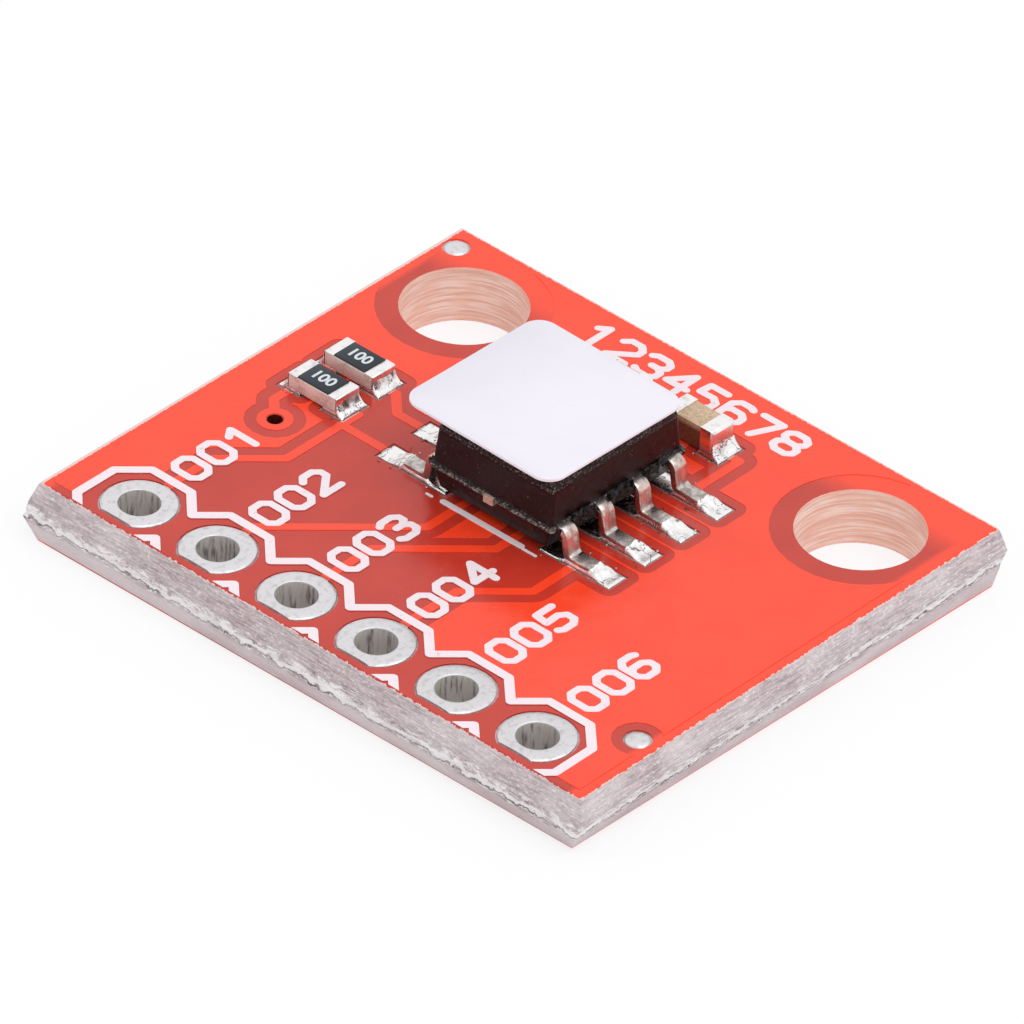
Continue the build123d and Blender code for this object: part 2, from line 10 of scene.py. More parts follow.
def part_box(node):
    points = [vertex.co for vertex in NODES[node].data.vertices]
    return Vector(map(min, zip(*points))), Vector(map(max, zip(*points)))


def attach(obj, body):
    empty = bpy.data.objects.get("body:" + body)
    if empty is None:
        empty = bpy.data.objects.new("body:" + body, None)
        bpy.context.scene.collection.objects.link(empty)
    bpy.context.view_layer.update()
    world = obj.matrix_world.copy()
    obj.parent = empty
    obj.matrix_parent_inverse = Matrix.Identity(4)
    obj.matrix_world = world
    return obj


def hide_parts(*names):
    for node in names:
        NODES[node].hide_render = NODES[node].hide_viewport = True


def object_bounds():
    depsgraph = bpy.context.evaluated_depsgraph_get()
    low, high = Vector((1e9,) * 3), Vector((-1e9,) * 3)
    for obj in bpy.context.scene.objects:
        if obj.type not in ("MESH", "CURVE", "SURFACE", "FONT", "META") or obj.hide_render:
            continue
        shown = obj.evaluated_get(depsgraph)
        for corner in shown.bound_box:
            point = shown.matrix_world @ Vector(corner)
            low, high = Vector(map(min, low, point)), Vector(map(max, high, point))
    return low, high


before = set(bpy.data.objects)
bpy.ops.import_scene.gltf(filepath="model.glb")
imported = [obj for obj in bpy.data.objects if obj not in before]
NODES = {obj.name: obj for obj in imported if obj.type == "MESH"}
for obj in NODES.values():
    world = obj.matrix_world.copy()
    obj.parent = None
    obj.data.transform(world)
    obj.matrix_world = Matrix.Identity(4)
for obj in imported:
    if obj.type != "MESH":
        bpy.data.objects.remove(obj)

bl_info = {
    "name": "Humidity sensor breakout board",
    "version": (1, 0, 0),
    "blender": (4, 5, 0),
    "location": "3D View > Sidebar > Sensor Board",
    "description": "Dresses the CAD model of a humidity sensor board with its visible pieces and finishes",
    "category": "Object",
}

MM = 0.001
CAD_BOX = [tuple(corner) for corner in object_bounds()]
CORE_LOW, CORE_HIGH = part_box("board_laminate")
CORE_MID, CORE_HALF = (CORE_LOW + CORE_HIGH) / 2, (CORE_HIGH - CORE_LOW) / 2
MASK_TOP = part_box("top_solder_mask")[1].z
FOIL_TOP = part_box("top_copper")[1].z
PIN_BOXES = [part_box(f"header_hole_{n}") for n in range(1, 7)]
RING_BOX = PIN_BOXES[0]
RING_RADIUS = (RING_BOX[1].y - RING_BOX[0].y) / 2
PIN_PLACES = [(high.x - RING_RADIUS, (low.y + high.y) / 2) for low, high in PIN_BOXES]
PACKAGE_LOW, PACKAGE_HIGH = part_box("sensor_body")
PACKAGE_MID, PACKAGE_HALF = (PACKAGE_LOW + PACKAGE_HIGH) / 2, (PACKAGE_HIGH - PACKAGE_LOW) / 2
CHIP_PARTS = ("resistor_1", "resistor_2", "capacitor_1", "capacitor_2")

# Sizes that the solids' boxes don't give
MOUNT_RADIUS = 1.6 * MM
MOUNT_PLACES = [(5.0 * MM, 6.35 * MM), (5.0 * MM, -6.35 * MM)]
BORE, BARREL = 0.508 * MM, 0.538 * MM  # radii of a header hole and of its barrel's outside
SCORE_Y = 8.89 * MM  # half the board's length, where the upper scores meet the web
SCORED = 0.45 * MM  # how far in from the border the scored faces reach
WEB_LOW, WEB_HIGH = 0.52 * MM, 1.08 * MM  # heights between which the board is torn
FLASH = 0.62 * MM  # height of the package's parting line above its foot
LEAD_GAP = 0.215 * MM  # from a lead's middle to the flash beside it
LEAD_SHIFT = 0.07 * MM  # how far the leads stand off the middle of their lands
SOLDER_STEP = 0.026 * MM  # spacing of the points of a solder surface
WELD = 0.0005 * MM  # points closer than this are joined


def tone(red, green, blue):
    """A colour from its usual 0 to 255 values, as the linear values that Blender works in."""
    return tuple(
        (c / 255 / 12.92) if c <= 10 else ((c / 255 + 0.055) / 1.055) ** 2.4 for c in (red, green, blue)
    )


def shade(colour, factor):
    """The colour with its three values multiplied."""
    return tuple(factor * c for c in colour)


def clamp(value):
    return max(0.0, min(1.0, value))


# Finishes


class Finish:
    """A procedural material while it is put together. Its sizes and depths are in millimetres."""

    def __init__(self, name, colour, roughness=0.5, metallic=0.0, ior=1.5):
        self.material = bpy.data.materials.new(name)
        self.material.use_nodes = True
        self.material.diffuse_color = (*colour, 1)
        self.tree = self.material.node_tree
        self.shader = self.tree.nodes["Principled BSDF"]
        self.put("Base Color", (*colour, 1))
        self.put("Roughness", roughness)
        self.put("Metallic", metallic)
        self.put("IOR", ior)
        self.place = self.add("ShaderNodeTexCoord").outputs["Object"]
        self.normal = None

    def add(self, kind, **settings):
        node = self.tree.nodes.new(kind)
        for name, value in settings.items():
            setattr(node, name, value)
        return node

    def put(self, socket, value):
        self.shader.inputs[socket].default_value = value

    def feed(self, value, socket):
        """A number or colour is set on the socket, and another node's output is linked to it."""
        if isinstance(value, bpy.types.NodeSocket):
            self.tree.links.new(value, socket)
        elif isinstance(value, tuple) and len(value) == 3 and socket.type == "RGBA":
            socket.default_value = (*value, 1)
        else:
            socket.default_value = value

    def texture(self, kind, size, stretch=(1, 1, 1)):
        """A texture whose spots are about size across, pulled out along each axis by stretch."""
        mapping = self.add("ShaderNodeMapping")
        self.feed(self.place, mapping.inputs["Vector"])
        mapping.inputs["Scale"].default_value = [1 / s for s in stretch]
        texture = self.add(kind)
        self.feed(mapping.outputs["Vector"], texture.inputs["Vector"])
        texture.inputs["Scale"].default_value = 1 / (size * MM)
        return texture

    def grain(self, size, stretch=(1, 1, 1), detail=3.0, rough=0.55):
        """Cloudy noise from 0 to 1."""
        texture = self.texture("ShaderNodeTexNoise", size, stretch)
        texture.inputs["Detail"].default_value = detail
        texture.inputs["Roughness"].default_value = rough
        return texture.outputs[0]

    def cells(self, size):
        """Distance from the middle of scattered cells."""
        return self.texture("ShaderNodeTexVoronoi", size).outputs["Distance"]

    def axis(self, name):
        split = self.add("ShaderNodeSeparateXYZ")
        self.feed(self.place, split.inputs[0])
        return split.outputs[name]

    def calc(self, operation, a, b=0.0):
        node = self.add("ShaderNodeMath", operation=operation)
        self.feed(a, node.inputs[0])
        self.feed(b, node.inputs[1])
        return node.outputs[0]

    def times(self, a, b):
        return self.calc("MULTIPLY", a, b)

    def off(self, value, level):
        """How far the value is from a level."""
        return self.calc("ABSOLUTE", self.calc("SUBTRACT", value, level))

    def spread(self, value, low, high, out_low=0.0, out_high=1.0):
        """A smooth step from out_low at low to out_high at high."""
        node = self.add("ShaderNodeMapRange", interpolation_type="SMOOTHSTEP")
        self.feed(value, node.inputs["Value"])
        for name, number in (("From Min", low), ("From Max", high), ("To Min", out_low), ("To Max", out_high)):
            node.inputs[name].default_value = number
        return node.outputs["Result"]

    def band(self, value, low, foot, head, high):
        """1 from foot to head, falling to 0 at low and at high."""
        return self.times(self.spread(value, low * MM, foot * MM), self.spread(value, high * MM, head * MM))

    def mix(self, amount, a, b):
        node = self.add("ShaderNodeMix", data_type="RGBA")
        for value, socket in ((amount, 0), (a, 6), (b, 7)):
            self.feed(value, node.inputs[socket])
        return node.outputs[2]

    def blend(self, value, low, high, a, b, out_low=0.0, out_high=1.0):
        """Colour a with that share of colour b, as spread gives it."""
        return self.mix(self.spread(value, low, high, out_low, out_high), a, b)

    def colour(self, value):
        self.feed(value, self.shader.inputs["Base Color"])

    def roughness(self, value):
        self.feed(value, self.shader.inputs["Roughness"])

    def relief(self, height, depth, strength=1.0):
        """Adds a bump of about that depth on top of the bumps there already."""
        node = self.add("ShaderNodeBump")
        node.inputs["Strength"].default_value = strength
        node.inputs["Distance"].default_value = depth * MM
        self.feed(height, node.inputs["Height"])
        if self.normal is not None:
            self.feed(self.normal, node.inputs["Normal"])
        self.normal = node.outputs["Normal"]
        self.feed(self.normal, self.shader.inputs["Normal"])


def mask_finish(name, colour, painted_edge_light=None, chipped=None):
    """Glossy red film: faint orange peel, a few dust pits and slow drifts of tone, and, when asked, painted light
    near the board's edges.
    """
    f = Finish(name, colour, roughness=0.22, ior=1.52)
    darker, lighter = shade(colour, 0.94), tuple(min(1.0, 1.03 * c + 0.002) for c in colour)
    tinted = f.blend(f.grain(1.6, detail=2.0), 0.3, 0.7, darker, lighter)
    if painted_edge_light is not None:
        # painted light: near the snapped edges and past the mounting holes the bare core takes the lighter tone,
        # standing in for light that gets in from the sides
        across = f.spread(f.axis("X"), 5.4 * MM, 6.6 * MM)
        along = f.spread(f.calc("ABSOLUTE", f.axis("Y")), 8.15 * MM, 8.4 * MM)
        tinted = f.mix(f.calc("MAXIMUM", across, along), tinted, painted_edge_light)
    tinted = f.blend(f.grain(0.12), 0.62, 0.72, tinted, darker, 0.0, 0.25)
    if chipped is not None:
        # the cutter chipped the film along the scores, widest on the two far sides
        nick = f.times(f.grain(0.10, detail=4.0), 0.10 * MM)
        chips = []
        for axis, edge, far_side, near_side in (
            ("X", CORE_HIGH.x, (0.265, 0.25), (0.205, 0.195)),
            ("Y", SCORE_Y, (0.345, 0.33), (0.245, 0.235)),
        ):
            far = f.spread(f.calc("ADD", f.axis(axis), nick), *(edge - inset * MM for inset in far_side))
            near = f.spread(f.calc("SUBTRACT", nick, f.axis(axis)), *(edge - inset * MM for inset in near_side))
            chips.append(f.calc("MAXIMUM", far, near))
        on_top = f.spread(f.axis("Z"), 0.8 * MM, 0.9 * MM)
        tinted = f.mix(f.times(f.calc("MAXIMUM", *chips), on_top), tinted, chipped)
    f.colour(tinted)
    f.roughness(f.spread(f.grain(0.5), 0.3, 0.75, 0.16, 0.30))
    f.relief(f.grain(0.30, detail=2.0), 0.004, 0.5)
    f.relief(f.cells(0.55), 0.002, 0.25)
    return f.material


def laminate_finish(name, colour, light, dark):
    """Scored and snapped glass epoxy: streaky scored faces, and a torn web with white fibre ends, painted shade in
    its pits and a line of painted shade along its tear.
    """
    f = Finish(name, colour, roughness=0.7)
    speck = f.grain(0.05, (2.4, 2.4, 1), 4.0, 0.7)
    streak = f.grain(0.035, (15, 15, 1), 4.0, 0.65)
    clump = f.grain(0.13, (2.6, 2.6, 1), 5.0, 0.7)
    z = f.axis("Z")
    wander = f.times(f.calc("SUBTRACT", f.grain(0.5, detail=5.0, rough=0.6), 0.5), 0.55 * MM)
    level = f.calc("ADD", z, wander)
    web = f.band(level, 0.50, 0.56, 0.90, 1.02)
    scored = f.blend(streak, 0.36, 0.60, shade(colour, 0.60), colour)
    scored = f.blend(speck, 0.36, 0.46, scored, dark, 0.55, 0.0)
    scored = f.blend(speck, 0.55, 0.68, scored, light, 0.0, 0.6)
    scored = f.blend(z, 0.52 * MM, 0.44 * MM, scored, shade(colour, 1.04), 0.0, 0.7)
    # painted shade: the torn web's pits, low in the clump noise, are darkened
    torn = f.blend(clump, 0.37, 0.45, colour, dark, 0.8, 0.0)
    torn = f.blend(clump, 0.47, 0.58, torn, light)
    # the tear's lower lip: a jagged dark line of painted shade in the crack, under a white one
    torn = f.blend(f.off(level, 0.70 * MM), 0.03 * MM, 0.09 * MM, torn, light, 0.9, 0.0)
    lip = f.spread(f.off(level, 0.60 * MM), 0.008 * MM, 0.035 * MM, 1.0, 0.0)
    body = f.mix(f.times(lip, f.spread(clump, 0.38, 0.5)), f.mix(web, scored, torn), shade(dark, 0.55))
    f.colour(f.blend(f.grain(0.9, (2, 2, 1), 2.0), 0.35, 0.65, body, light, 0.0, 0.25))
    f.relief(speck, 0.012, 0.7)
    f.relief(f.times(web, clump), 0.09, 0.9)
    f.relief(f.times(f.calc("SUBTRACT", 1.0, web), streak), 0.016, 0.7)
    return f.material


def drilled_finish(name, colour, dark):
    """Wall of a drilled hole: tan resin with rings left by the drill and the ends of the weave."""
    f = Finish(name, colour, roughness=0.55)
    rings = f.grain(0.06, (22, 22, 1), rough=0.5)
    resin = f.blend(f.grain(0.28, (2.5, 2.5, 1), 2.0), 0.35, 0.65, colour, tone(255, 236, 228))
    f.colour(f.blend(rings, 0.35, 0.65, dark, resin))
    f.relief(rings, 0.012, 0.8)
    return f.material


def tin_finish(name, colour, dark, size, roughness, streaks=(1, 1, 1), depth=0.006, creases=False, metallic=1.0):
    """Tin or solder: cloudy dull patches on a brighter skin, with shallow ripples and, on solder, creases darkened
    with painted shade.
    """
    f = Finish(name, colour, roughness=roughness, metallic=metallic)
    cloud = f.grain(size, streaks, 4.0)
    fine = f.grain(size * 0.22, streaks)
    body = f.blend(cloud, 0.30, 0.52, dark, colour)
    if creases:
        fold = f.off(f.grain(size * 2.6, detail=2.0), 0.5)
        # painted shade: the creases are darkened
        crease_and_shade = f.times(f.spread(fold, 0.004, 0.026, 1.0, 0.0), f.spread(fine, 0.42, 0.56))
        f.colour(f.mix(crease_and_shade, body, shade(dark, 0.30)))
        f.relief(f.calc("SUBTRACT", 1.0, crease_and_shade), depth, 0.7)
    else:
        f.colour(f.blend(fine, 0.62, 0.76, body, dark, 0.0, 0.4))
    f.roughness(f.spread(cloud, 0.3, 0.7, min(1.0, roughness * 1.25), roughness * 0.8))
    f.relief(cloud, depth, 0.8)
    f.relief(fine, depth * 0.4, 0.8)
    return f.material


def lead_finish(name, colour):
    """Plated leads: worn in streaks, and pinker where they bend down beside the package."""
    f = Finish(name, colour, roughness=0.3, metallic=1.0)
    worn = f.grain(0.16, (1, 1, 2.2), 4.0)
    plated = f.blend(worn, 0.36, 0.62, tone(156, 148, 146), colour)
    pink = f.blend(worn, 0.34, 0.60, tone(186, 140, 128), tone(226, 200, 192))
    f.colour(f.mix(f.times(f.band(f.axis("Z"), 1.82, 2.0, 2.38, 2.5), 0.75), plated, pink))
    f.roughness(f.spread(worn, 0.3, 0.7, 0.38, 0.2))
    f.relief(worn, 0.010, 0.6)
    f.relief(f.grain(0.03, detail=2.0), 0.003, 0.6)
    return f.material


def moulded_finish(name, colour, speck, roughness, depth, coarse=None):
    """Moulded black epoxy with a fine matt grain, rougher and speckled in the two bands given as coarse."""
    f = Finish(name, colour, roughness=roughness)
    f.put("Specular IOR Level", 0.3)
    grain = f.grain(0.05, detail=4.0)
    cloud = f.grain(0.5, (2, 2, 1), 2.0)
    body = f.blend(cloud, 0.3, 0.7, shade(colour, 0.7), colour)
    body = f.blend(grain, 0.66, 0.76, body, speck, 0.0, 0.5 if coarse else 0.6)
    f.roughness(f.spread(cloud, 0.3, 0.7, roughness * 0.8, min(1.0, roughness * 1.3)))
    f.relief(grain, depth, 0.6)
    if coarse:
        z, black = f.axis("Z"), shade(colour, 0.35)
        wander = f.calc("ADD", z, f.times(f.grain(0.25), 0.06 * MM))
        bands = f.calc("MAXIMUM", *(f.band(wander, low, low + 0.04, high, high + 0.05) for low, high in coarse))
        crumb = f.grain(0.055, detail=5.0, rough=0.75)
        pitted = f.blend(crumb, 0.53, 0.62, black, speck, 0.0, 0.9)
        # the flash is scuffed pale along its crest, and the rim keeps more of its black
        pitted = f.blend(z, 2.6 * MM, 3.3 * MM, pitted, black, 0.0, 0.5)
        scuff = f.spread(f.grain(0.10, (2, 2, 1), 5.0, 0.7), 0.44, 0.60, 0.0, 0.6)
        pitted = f.mix(f.times(f.band(z, 2.37, 2.42, 2.46, 2.51), scuff), pitted, speck)
        body = f.mix(bands, body, pitted)
        f.relief(f.times(bands, crumb), 0.06)
    f.colour(body)
    return f.material


def film_finish(name, colour):
    """Filter membrane: matt white with a felted grain and a few grey specks."""
    f = Finish(name, colour, roughness=0.7, ior=1.35)
    f.put("Specular IOR Level", 0.3)
    felt = f.grain(0.06, detail=4.0)
    body = f.blend(f.grain(1.8, detail=1.0), 0.3, 0.7, shade(colour, 0.98), colour)
    body = f.blend(felt, 0.3, 0.42, body, tone(214, 212, 224), 0.12, 0.0)
    f.colour(f.blend(f.cells(0.62), 0.018, 0.032, body, tone(150, 140, 150), 0.55, 0.0))
    f.relief(felt, 0.004, 0.5)
    return f.material


def ceramic_finish(name, colour, dark, size=0.08):
    """Fired ceramic: fine matt grain with slow changes of tone."""
    f = Finish(name, colour)
    fine = f.grain(size, detail=4.0)
    f.colour(f.blend(fine, 0.35, 0.7, f.blend(f.grain(0.5, detail=2.0), 0.3, 0.7, dark, colour), colour))
    f.relief(fine, 0.006, 0.6)
    return f.material


def fired_finish(name):
    """The capacitors' ceramic: a tan top over sides darkened to brown by painted shade."""
    f = Finish(name, tone(196, 168, 136), roughness=0.4)
    fine = f.grain(0.06, detail=4.0)
    # painted shade: below the top the sides are dark brown
    side = f.blend(fine, 0.3, 0.7, tone(92, 60, 44), tone(126, 90, 68))
    top = f.blend(fine, 0.3, 0.7, tone(184, 152, 120), tone(214, 188, 158))
    f.colour(f.blend(f.axis("Z"), 2.10 * MM, 2.26 * MM, side, top))
    f.relief(fine, 0.006, 0.6)
    return f.material


def print_finish(name, colour, thin):
    """Screen-printed ink: nearly opaque, thinner in small patches where what lies under it shows through."""
    f = Finish(name, colour)
    f.colour(f.blend(f.grain(0.16, detail=4.0), 0.60, 0.78, colour, thin, 0.0, 0.6))
    f.relief(f.grain(0.05, detail=2.0), 0.006, 0.7)
    return f.material


def resin_finish(name, colour):
    """Dried flux: glassy amber drops."""
    f = Finish(name, colour, roughness=0.12)
    f.colour(f.blend(f.grain(0.05), 0.3, 0.7, colour, shade(colour, 0.35)))
    f.relief(f.grain(0.04), 0.004, 0.6)
    return f.material


def seen_direct(tree):
    """1 where the camera sees a surface itself or in metal or glass, and 0 where it only lights others."""
    path = tree.nodes.new("ShaderNodeLightPath")
    whole = path.outputs["Is Camera Ray"]
    for ray in ("Is Glossy Ray", "Is Transmission Ray"):
        either = tree.nodes.new("ShaderNodeMath")
        either.operation = "MAXIMUM"
        tree.links.new(whole, either.inputs[0])
        tree.links.new(path.outputs[ray], either.inputs[1])
        whole = either.outputs[0]
    return whole


# Shapes


def joined(node):
    """A CAD node's surface with its loose triangles joined."""
    bm = bmesh.new()
    bm.from_mesh(NODES[node].data)
    bmesh.ops.remove_doubles(bm, verts=bm.verts, dist=WELD)
    return bm


def placed(name, data):
    """A new object with that data, linked to the scene."""
    thing = bpy.data.objects.new(name, data)
    bpy.context.scene.collection.objects.link(thing)
    return thing


def dress(bm, name, finishes, replaced=(), sharp=38):
    """Turns a finished bmesh into a piece of the object, with its finish and the CAD nodes it stands for."""
    bmesh.ops.dissolve_degenerate(bm, dist=0.0002 * MM, edges=bm.edges)
    bmesh.ops.recalc_face_normals(bm, faces=bm.faces)
    for face in bm.faces:
        face.smooth = True
    for edge in bm.edges:
        edge.smooth = edge.is_manifold and edge.calc_face_angle(0.0) < math.radians(sharp)
    mesh = bpy.data.meshes.new(name)
    bm.to_mesh(mesh)
    bm.free()
    for finish in finishes:
        mesh.materials.append(finish)
    piece = placed(name, mesh)
    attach(piece, "root")
    if replaced:
        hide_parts(*replaced)


def paint(node, finish):
    """Gives a CAD node that stays in view a better finish."""
    mesh = NODES[node].data
    if not mesh.materials:
        mesh.materials.append(finish)
    for slot in NODES[node].material_slots:
        slot.material = finish


def turning(bm, degrees):
    """The edges whose two faces turn by more than the angle."""
    return [e for e in bm.edges if e.is_manifold and e.calc_face_angle(0.0) > math.radians(degrees)]


def bevelled(bm, geom, width, segments, affect="EDGES"):
    bmesh.ops.bevel(
        bm, geom=geom, offset=width * MM, segments=segments, profile=0.5, affect=affect,
        clamp_overlap=affect == "EDGES", material=-1,
    )


def eased(node, name, finish, width, segments=2, angle=40, sharp=38):
    """A CAD node's piece: each flat area made one face, and its edges rounded. Not for areas with holes."""
    bm = joined(node)
    bmesh.ops.dissolve_limit(bm, angle_limit=math.radians(1), verts=bm.verts, edges=bm.edges)
    bevelled(bm, turning(bm, angle), width, segments)
    dress(bm, name, [finish], [node], sharp)


def carved(base, tool, operation):
    """The base cut by the tool, or their common part, as a new bmesh."""
    made = []
    for name, bm in (("base", base), ("tool", tool)):
        mesh = bpy.data.meshes.new(name)
        bm.to_mesh(mesh)
        made.append(placed(name, mesh))
    cut = made[0].modifiers.new("cut", "BOOLEAN")
    cut.operation = operation
    cut.solver = "EXACT"
    cut.object = made[1]
    graph = bpy.context.evaluated_depsgraph_get()
    result = bmesh.new()
    result.from_mesh(made[0].evaluated_get(graph).to_mesh())
    for thing in made:
        mesh = thing.data
        bpy.data.objects.remove(thing)
        bpy.data.meshes.remove(mesh)
    if not result.faces:
        raise RuntimeError("the cut left nothing")
    return result


def turned(profile, steps):
    """A closed section of (radius, height) points turned about the upright axis."""
    bm = bmesh.new()
    ring = [bm.verts.new((r, 0, z)) for r, z in profile]
    edges = [bm.edges.new(pair) for pair in zip(ring, ring[1:] + ring[:1])]
    bmesh.ops.spin(
        bm, geom=ring + edges, angle=math.tau, steps=steps, axis=(0, 0, 1), cent=(0, 0, 0), use_merge=True
    )
    bmesh.ops.remove_doubles(bm, verts=bm.verts, dist=WELD)
    return bm


def plate(half_x, half_y, radius, segments, cuts):
    """A flat rectangle with round corners, its long sides cut evenly."""
    bm = bmesh.new()
    corners = [bm.verts.new((i * half_x, j * half_y, 0)) for i, j in ((-1, -1), (1, -1), (1, 1), (-1, 1))]
    bm.faces.new(corners)
    bevelled(bm, corners, radius, segments, "VERTICES")
    bmesh.ops.subdivide_edges(bm, edges=[e for e in bm.edges if e.calc_length() > MM], cuts=cuts)
    return bm


def raised(bm, loop, move):
    """Extrudes a closed loop of edges into a wall and places its new points. Returns the new loop."""
    out = bmesh.ops.extrude_edge_only(bm, edges=loop)["geom"]
    for vert in (v for v in out if isinstance(v, bmesh.types.BMVert)):
        vert.co = move(vert.co)
    return [e for e in out if isinstance(e, bmesh.types.BMEdge) and e.is_boundary]


def edges_at(verts):
    return {e for v in verts for e in v.link_edges}


def block(bm, low, high, cuts):
    """A box between two corners, its sides cut evenly."""
    before = set(bm.verts)
    out = bmesh.ops.create_cube(bm, size=1.0)["verts"]
    bmesh.ops.scale(bm, vec=Vector(high) - Vector(low), verts=out)
    bmesh.ops.translate(bm, vec=(Vector(high) + Vector(low)) / 2, verts=out)
    bmesh.ops.subdivide_edges(bm, edges=list(edges_at(out)), cuts=cuts, use_grid_fill=True)
    return [v for v in bm.verts if v not in before]


def ripple(point, size, seed=0.0):
    """Smooth noise from about -1 to 1 whose waves are about size across, in millimetres."""
    return noise.noise(Vector(point) / (size * MM) + Vector((seed, 1.7 * seed, 0.3 * seed)))


def fillet_field(bm, low, high, height):
    """A solder surface over a rectangle: its height is a function of place, and its rim falls to the foil."""
    nx, ny = (max(2, round((high[i] - low[i]) / SOLDER_STEP)) for i in (0, 1))
    out = bmesh.ops.create_grid(bm, x_segments=nx, y_segments=ny, size=0.5)["verts"]
    for vert in out:
        x = low[0] + (vert.co.x + 0.5) * (high[0] - low[0])
        y = low[1] + (vert.co.y + 0.5) * (high[1] - low[1])
        vert.co = (x, y, FOIL_TOP + max(0.004 * MM, height(x, y)))
    rim = [e for e in edges_at(out) if e.is_boundary]
    bmesh.ops.contextual_create(bm, geom=raised(bm, rim, lambda p: (p.x, p.y, FOIL_TOP)))


def rim_round(x, y, low, high, width):
    """1 inside a rectangle, falling to 0 at its border in a quarter circle of that width."""
    t = clamp(min(x - low[0], high[0] - x, y - low[1], high[1] - y) / width)
    return math.sqrt(1 - (1 - t) ** 2)


def gap_to(x, y, low, high):
    """Distance from a point to a rectangle, 0 inside it."""
    return math.hypot(max(low[0] - x, 0, x - high[0]), max(low[1] - y, 0, y - high[1]))


def near_mount(point, reach):
    """Whether the point lies within reach times a mounting hole's radius of its middle."""
    return any(math.hypot(point.x - x, point.y - y) < reach * MOUNT_RADIUS for x, y in MOUNT_PLACES)


def mark_mount_walls(bm, reach):
    """Gives the walls of the mounting holes a piece's second finish."""
    bm.normal_update()
    for face in bm.faces:
        wall = abs(face.normal.z) < 0.5 and near_mount(face.calc_center_median(), reach)
        face.material_index = 1 if wall else 0


def off_edge(p):
    """How far in from the core's outermost border a point lies."""
    return min(CORE_HALF.x - abs(p.x - CORE_MID.x), CORE_HALF.y - abs(p.y - CORE_MID.y))


def snapped(p):
    """How far a point of the board's border lies from a true groove, as this board was cut and snapped."""
    if off_edge(p) > SCORED + 0.01 * MM:
        return Vector((0, 0, 0))

    def share(value, low, high):
        return clamp((value - low * MM) / ((high - low) * MM))

    right, far = ((p[i] - CORE_LOW[i]) / (2 * CORE_HALF[i]) for i in (0, 1))
    foot, web = 1 - share(p.z, 0, 0.55), 1 - share(p.z, 1.05, 1.5)
    x = -0.20 * web * share(p.x, 6.4, 7.3) - 0.21 * far * foot * share(-p.x, 6.4, 7.3)
    y = -(0.13 * web + 0.16 * foot) * share(p.y, 7.4, 8.42) - 0.30 * right * foot * share(-p.y, 7.4, 8.42)
    return Vector((x, y, 0)) * MM


# Strokes of the plain numerals, on a grid 0.6 wide and 1 high

NUMERALS = {
    "0": [[(0.16, 0), (0, 0.2), (0, 0.8), (0.16, 1), (0.44, 1), (0.6, 0.8), (0.6, 0.2), (0.44, 0), (0.16, 0)]],
    "1": [[(0.08, 0.78), (0.32, 1), (0.32, 0)]],
    "2": [[(0, 0.82), (0.15, 1), (0.45, 1), (0.6, 0.82), (0.6, 0.6), (0, 0), (0.6, 0)]],
    "3": [
        [(0, 0.9), (0.12, 1), (0.45, 1), (0.6, 0.85), (0.6, 0.66), (0.45, 0.52), (0.24, 0.52)],
        [(0.45, 0.52), (0.6, 0.38), (0.6, 0.15), (0.45, 0), (0.12, 0), (0, 0.1)],
    ],
    "4": [[(0.46, 0), (0.46, 1), (0, 0.3), (0.62, 0.3)]],
    "5": [[
        (0.58, 1), (0.06, 1), (0.02, 0.56), (0.42, 0.58), (0.6, 0.42), (0.6, 0.15), (0.45, 0), (0.12, 0), (0, 0.1),
    ]],
    "6": [
        [(0.56, 0.94), (0.45, 1), (0.16, 1), (0, 0.8), (0, 0.2), (0.15, 0), (0.45, 0), (0.6, 0.17), (0.6, 0.4)],
        [(0.6, 0.4), (0.45, 0.56), (0.15, 0.56), (0, 0.42)],
    ],
    "7": [[(0, 1), (0.6, 1), (0.22, 0)]],
    "8": [
        [
            (0.15, 0.52), (0, 0.68), (0, 0.85), (0.15, 1), (0.45, 1),
            (0.6, 0.85), (0.6, 0.68), (0.45, 0.52), (0.15, 0.52),
        ],
        [(0.15, 0.52), (0, 0.36), (0, 0.15), (0.15, 0), (0.45, 0), (0.6, 0.15), (0.6, 0.36), (0.45, 0.52)],
    ],
}
NUMERAL_PITCH = 0.86  # from one numeral to the next, as a share of their height


def print_numeral(bm, text, x, y, angle, height, stroke, thick):
    """Numerals drawn in even strokes with round ends, from their left foot at a place along the angle."""
    turn = Matrix.Translation((x, y, MASK_TOP + thick / 2)) @ Matrix.Rotation(angle, 4, "Z")
    layer = 0  # each stroke lies a hair above the one before, so that no two faces share a plane
    for n, figure in enumerate(text):
        for run in NUMERALS[figure]:
            spots = [
                Vector(((n * NUMERAL_PITCH + u) * height, v * (height - stroke) + stroke / 2, 0)) for u, v in run
            ]
            for a, b in zip(spots, spots[1:]):
                along = b - a
                layer = layer % 17 + 1
                out = bmesh.ops.create_cube(bm, size=1.0)["verts"]
                bmesh.ops.scale(bm, vec=(along.length, stroke, thick * (1 + 0.02 * layer)), verts=out)
                place = Matrix.Translation((a + b) / 2) @ Matrix.Rotation(math.atan2(along.y, along.x), 4, "Z")
                bmesh.ops.transform(bm, matrix=turn @ place, verts=out)
            for spot in spots[:-1] if run[0] == run[-1] else spots:
                layer = layer % 17 + 1
                out = bmesh.ops.create_cone(
                    bm, cap_ends=True, segments=14, radius1=stroke / 2, radius2=stroke / 2,
                    depth=thick * (1.01 + 0.02 * layer),
                )["verts"]
                bmesh.ops.transform(bm, matrix=turn @ Matrix.Translation(spot), verts=out)


# Settings


def colour_field(name, description, *rgb):
    return FloatVectorProperty(name=name, description=description, subtype="COLOR", default=tone(*rgb))


def length_field(name, description, size):
    """A length, given here in millimetres."""
    return FloatProperty(name=name, description=description, default=size * MM, unit="LENGTH")


